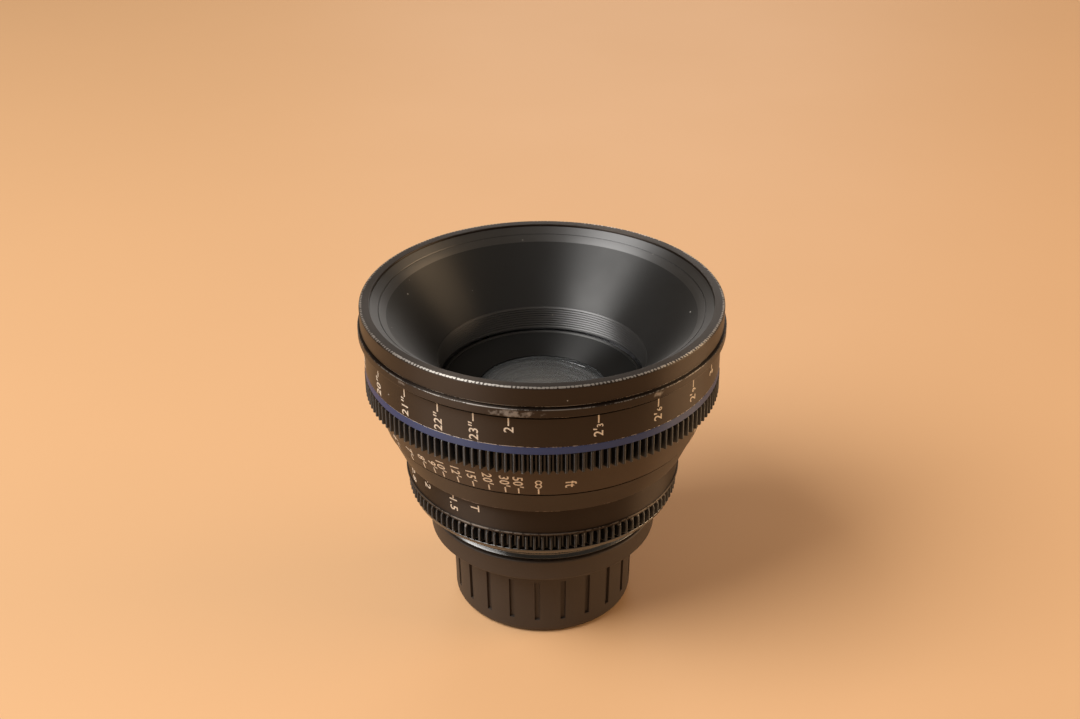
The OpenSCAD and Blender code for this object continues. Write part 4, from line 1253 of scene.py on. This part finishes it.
@dataclass
class FrontGroup:
    """Hood, clamp ring and narrow ring at the front, in millimetres and degrees."""

    rim: float = 109.5
    front: float = 57.0
    front_low: float = 103.3
    inner: float = 50.55
    rim_wall: float = 53.7
    flange: float = 2.2
    stop: float = 57.75
    stop_low: float = 100.0
    groove_low: float = 102.8
    groove: float = 56.4
    joint: float = 51.2
    mouth: float = 49.2
    mouth_depth: float = 3.5
    rim_depth: float = 0.6
    cone: float = 33.4
    cone_depth: float = 20.8
    bore: float = 33.0
    depth: float = 29.0
    ridges: int = 9
    spigot: float = 37.98
    sleeve: float = 44.2
    barrel_top: float = 91.4
    hood_wall: float = 2.7
    index: float = 111.5
    index_tick: Point = (0.4, 2.0, 0.5)
    joint_width: float = 0.3
    joint_depth: float = 0.35
    joint_drop: float = 0.2
    joint_lean: float = 0.05
    shoulder_drop: float = 0.3
    ridge_gap: float = 0.3
    ridge_end: float = 0.2
    cone_margin: float = 0.05
    lip_margin: float = 0.6

    def build(self, finishes: Finishes) -> None:
        """Build the rings and the hood."""
        shelf = self.front_low + self.flange
        section = [
            (self.inner, self.front_low),
            (self.front, self.front_low, 0.35, 3),
            (self.front, self.rim, 0.6, 4),
            (self.rim_wall, self.rim, 0.25, 3),
            (self.rim_wall, shelf),
            (self.inner, shelf),
        ]
        ring = Workshop.lathe(section)
        Workshop.piece(ring, "clamp_ring", Body.BARREL, Slot.SATIN, [finishes.front], ["front_ring"])
        section = [
            (self.inner, self.stop_low),
            (self.stop, self.stop_low, 0.35, 3),
            (self.stop, self.groove_low, 0.35, 3),
            (self.groove, self.groove_low),
            (self.groove, self.front_low),
            (self.inner, self.front_low),
        ]
        ring = Workshop.lathe(section)
        Workshop.piece(ring, "narrow_ring", Body.BARREL, Slot.SATIN, [finishes.stop], ["stop_ring"])
        self.hood(finishes)
        marks = Marks(ScaleFace((self.stop, self.stop_low), (self.stop, self.groove_low)), Reading.UPWARD)
        marks.tick(self.index, *self.index_tick)
        marks.piece("upper_index_line", Body.BARREL, Slot.SATIN, finishes.paint)

    def hood(self, finishes: Finishes) -> None:
        """Build the conical hood with the fine ridges of its bore."""
        mouth_z = self.rim - self.mouth_depth
        cone_z = self.rim - self.cone_depth
        low = self.rim - self.depth
        shoulder = self.barrel_top + self.flange
        slope = (self.mouth - self.cone) / (mouth_z - cone_z)
        shelf = self.front_low + self.flange
        edge = self.rim_wall - FIT
        share = (edge - self.joint) / (edge - self.mouth)
        joint_z = self.rim - self.rim_depth - share * (self.mouth_depth - self.rim_depth)
        section = [
            (self.bore, low),
            (self.spigot, low),
            (self.spigot, self.barrel_top),
            (self.sleeve, self.barrel_top),
            (self.sleeve, shoulder - self.shoulder_drop),
            (self.cone + slope * (shoulder - cone_z) + self.hood_wall, shoulder),
            (self.inner - FIT, shelf),
            (edge, shelf),
            (edge, self.rim - self.rim_depth, 0.15, 2),
            (self.joint, joint_z, 0.1, 2),
            (self.joint - self.joint_lean, joint_z - self.joint_depth),
            (self.joint - self.joint_width + self.joint_lean, joint_z - self.joint_depth),
            (self.joint - self.joint_width, joint_z - self.joint_drop, 0.1, 2),
            (self.mouth, mouth_z, 1.2, 5),
            (self.cone, cone_z, 0.2, 2),
        ]
        high = cone_z - self.ridge_gap
        pitch = (high - low - self.ridge_end) / self.ridges
        for step in range(self.ridges):
            section.append((self.cone, high - step * pitch))
            section.append((self.bore, high - (step + 0.5) * pitch))
        bm = Workshop.lathe(section)
        for face in bm.faces:
            middle = face.calc_center_median()
            radius = math.hypot(middle.x, middle.y) / MM
            on_cone = self.cone + self.cone_margin < radius < self.mouth - self.lip_margin
            face.material_index = int(not on_cone)
        Workshop.piece(bm, "hood_cone", Body.BARREL, Slot.HOOD, [finishes.hood, finishes.ridges], ["hood"])


@dataclass
class FrontOptics:
    """Collar, bezel and front element behind the hood, in millimetres."""

    collar: float = 32.3
    collar_wall: float = 1.1
    collar_low: float = 74.897
    collar_high: float = 80.097
    cell: float = 29.98
    cell_low: float = 63.497
    glass: float = 21.5
    glass_low: float = 71.997
    glass_high: float = 75.997
    bulge: float = 3.6
    hollow: float = 0.8
    seat: float = 1.0
    second: float = 18.52
    third: float = 16.52
    second_low: float = 67.597
    third_low: float = 63.997
    ledge: float = 15.5
    facets: int = 24
    segments: int = 160
    bezel_lip: float = 0.3
    baffle_rise: float = 0.5

    def build(self, finishes: Finishes) -> None:
        """Build the three pieces."""
        inner = self.collar - self.collar_wall
        bore = self.glass + FIT
        section = [
            (self.ledge, self.cell_low),
            (self.cell, self.cell_low),
            (self.cell, self.collar_low),
            (self.collar, self.collar_low),
            (self.collar, self.collar_high, 0.2, 3),
            (inner, self.collar_high, 0.2, 3),
            (inner, self.glass_high),
            (bore, self.glass_high),
            (bore, self.glass_low),
            (self.second, self.glass_low),
            (self.second, self.second_low),
            (self.third, self.second_low),
            (self.third, self.third_low),
            (self.ledge, self.third_low),
        ]
        ring = Workshop.lathe(section)
        for face in ring.faces:
            face.material_index = int(face.calc_center_median().z < (self.glass_high + self.baffle_rise) * MM)
        dress = [finishes.cell, finishes.baffle]
        Workshop.piece(ring, "front_cell_collar", Body.OPTICS, Slot.HOOD, dress, ["front_cell"])
        lip = self.glass - self.bezel_lip
        edge = inner - FIT
        section = [
            (lip, self.glass_high + self.bezel_lip),
            (self.glass, self.glass_high),
            (edge, self.glass_high),
            (edge, self.collar_high - self.bezel_lip, 0.15, 2),
            (lip, self.glass_high + 2.0 * self.bezel_lip, 0.1, 2),
        ]
        ring = Workshop.lathe(section)
        Workshop.piece(ring, "front_bezel_cone", Body.OPTICS, Slot.HOOD, [finishes.bezel], ["front_bezel"])
        top = self.dome(self.glass_high, self.bulge)
        under = self.dome(self.glass_low, self.hollow)
        section = [(self.glass, self.glass_low), (self.glass, self.glass_high), *top, *reversed(under)]
        lens = Workshop.lathe(section, self.segments)
        Workshop.piece(lens, "front_element", Body.OPTICS, Slot.GLASS, [finishes.front_glass], ["element_1"])

    def dome(self, base: float, rise: float) -> list[Corner]:
        """Return points of a round face from its edge to the axis."""
        reach = self.glass - self.seat
        ball = (reach * reach + rise * rise) / (2.0 * rise)
        points: list[Corner] = []
        for step in range(self.facets + 1):
            x = reach * (1.0 - step / self.facets)
            points.append((x, base + math.sqrt(ball * ball - x * x) - (ball - rise)))
        return points


@dataclass
class Studio:
    """Floor, lights and camera."""

    floor_colour: Colour = (0.80, 0.475, 0.242)
    floor_size: float = 3.0
    world_colour: Colour = (1.0, 0.82, 0.64)
    world_strength: float = 0.24
    aim: Point = (0.0, 0.0, 0.07)
    clip: float = 0.01
    camera_place: Point = (0.0, -0.4448, 0.33685)
    pitch: float = 29.342
    roll: float = -0.253
    yaw: float = 0.086
    focal_pixels: float = 1600.0
    image_width: float = 1080.0
    sensor: float = 36.0

    def build(self) -> None:
        """Build the stage."""
        self.floor()
        self.world()
        self.lamp("key", (-0.82, -0.37, 1.10), (0.9, 0.9), 22.0, (1.0, 0.98, 0.95))
        self.lamp("fill", (1.2, 0.05, 0.33), (0.8, 0.36), 8.5, (1.0, 0.70, 0.42))
        self.lamp("back", (0.11, 1.22, 0.43), (0.6, 0.35), 1.6, (1.0, 0.95, 0.90))
        self.camera()

    def floor(self) -> None:
        """Lay the plain floor."""
        bm = bmesh.new()
        bmesh.ops.create_grid(bm, x_segments=1, y_segments=1, size=self.floor_size)
        mesh = bpy.data.meshes.new("floor")
        bm.to_mesh(mesh)
        bm.free()
        tint = tuple(PALE_TINT * c for c in self.floor_colour)
        finish = Finish("floor_finish", self.floor_colour, tint, (0.55, 0.6), cloud_scale=5.0)
        mesh.materials.append(finish.material())
        thing = bpy.data.objects.new("floor", mesh)
        bpy.context.scene.collection.objects.link(thing)

    def world(self) -> None:
        """Set the plain soft surrounding light."""
        world = bpy.data.worlds.new("studio")
        world.use_nodes = True
        back = world.node_tree.nodes["Background"]
        back.inputs["Color"].default_value = (*self.world_colour, 1.0)
        back.inputs["Strength"].default_value = self.world_strength
        bpy.context.scene.world = world

    def lamp(self, name: str, place: Point, size: tuple[float, float], power: float, colour: Colour) -> None:
        """Hang one soft lamp that faces the lens.

        Args:
            name: Name of the lamp.
            place: Its place in metres.
            size: Its width and height in metres.
            power: Its power in watts.
            colour: Its colour.
        """
        light = bpy.data.lights.new(name, "AREA")
        light.shape = "RECTANGLE"
        light.size, light.size_y = size
        light.energy = power
        light.color = colour
        thing = bpy.data.objects.new(name, light)
        thing.location = place
        thing.visible_camera = False
        thing.rotation_euler = (Vector(self.aim) - Vector(place)).to_track_quat("-Z", "Y").to_euler()
        bpy.context.scene.collection.objects.link(thing)

    def camera(self) -> None:
        """Set the camera at the photograph's angle."""
        data = bpy.data.cameras.new("camera")
        data.sensor_width = self.sensor
        data.lens = self.sensor * self.focal_pixels / self.image_width
        data.clip_start = self.clip
        thing = bpy.data.objects.new("camera", data)
        tilt = Euler((math.radians(90.0 - self.pitch), 0.0, math.radians(self.yaw))).to_matrix()
        roll = Matrix.Rotation(math.radians(self.roll), 3, "Z")
        thing.rotation_euler = (tilt @ roll).to_euler()
        thing.location = self.camera_place
        bpy.context.scene.collection.objects.link(thing)
        bpy.context.scene.camera = thing


def main() -> None:
    """Build the lens and its stage."""
    logging.basicConfig(level=logging.INFO, format="%(message)s")
    bpy.context.scene.view_settings.view_transform = "Standard"
    Studio().build()
    finishes = Finishes()
    finishes.dress_nodes()
    for part in (RearCap(), RearBarrel(), IrisRing(), IndexBand(), FocusRing(), FrontGroup(), FrontOptics()):
        part.build(finishes)
        LOG.info("%s is done", type(part).__name__)


if __name__ == "__main__":
    main()
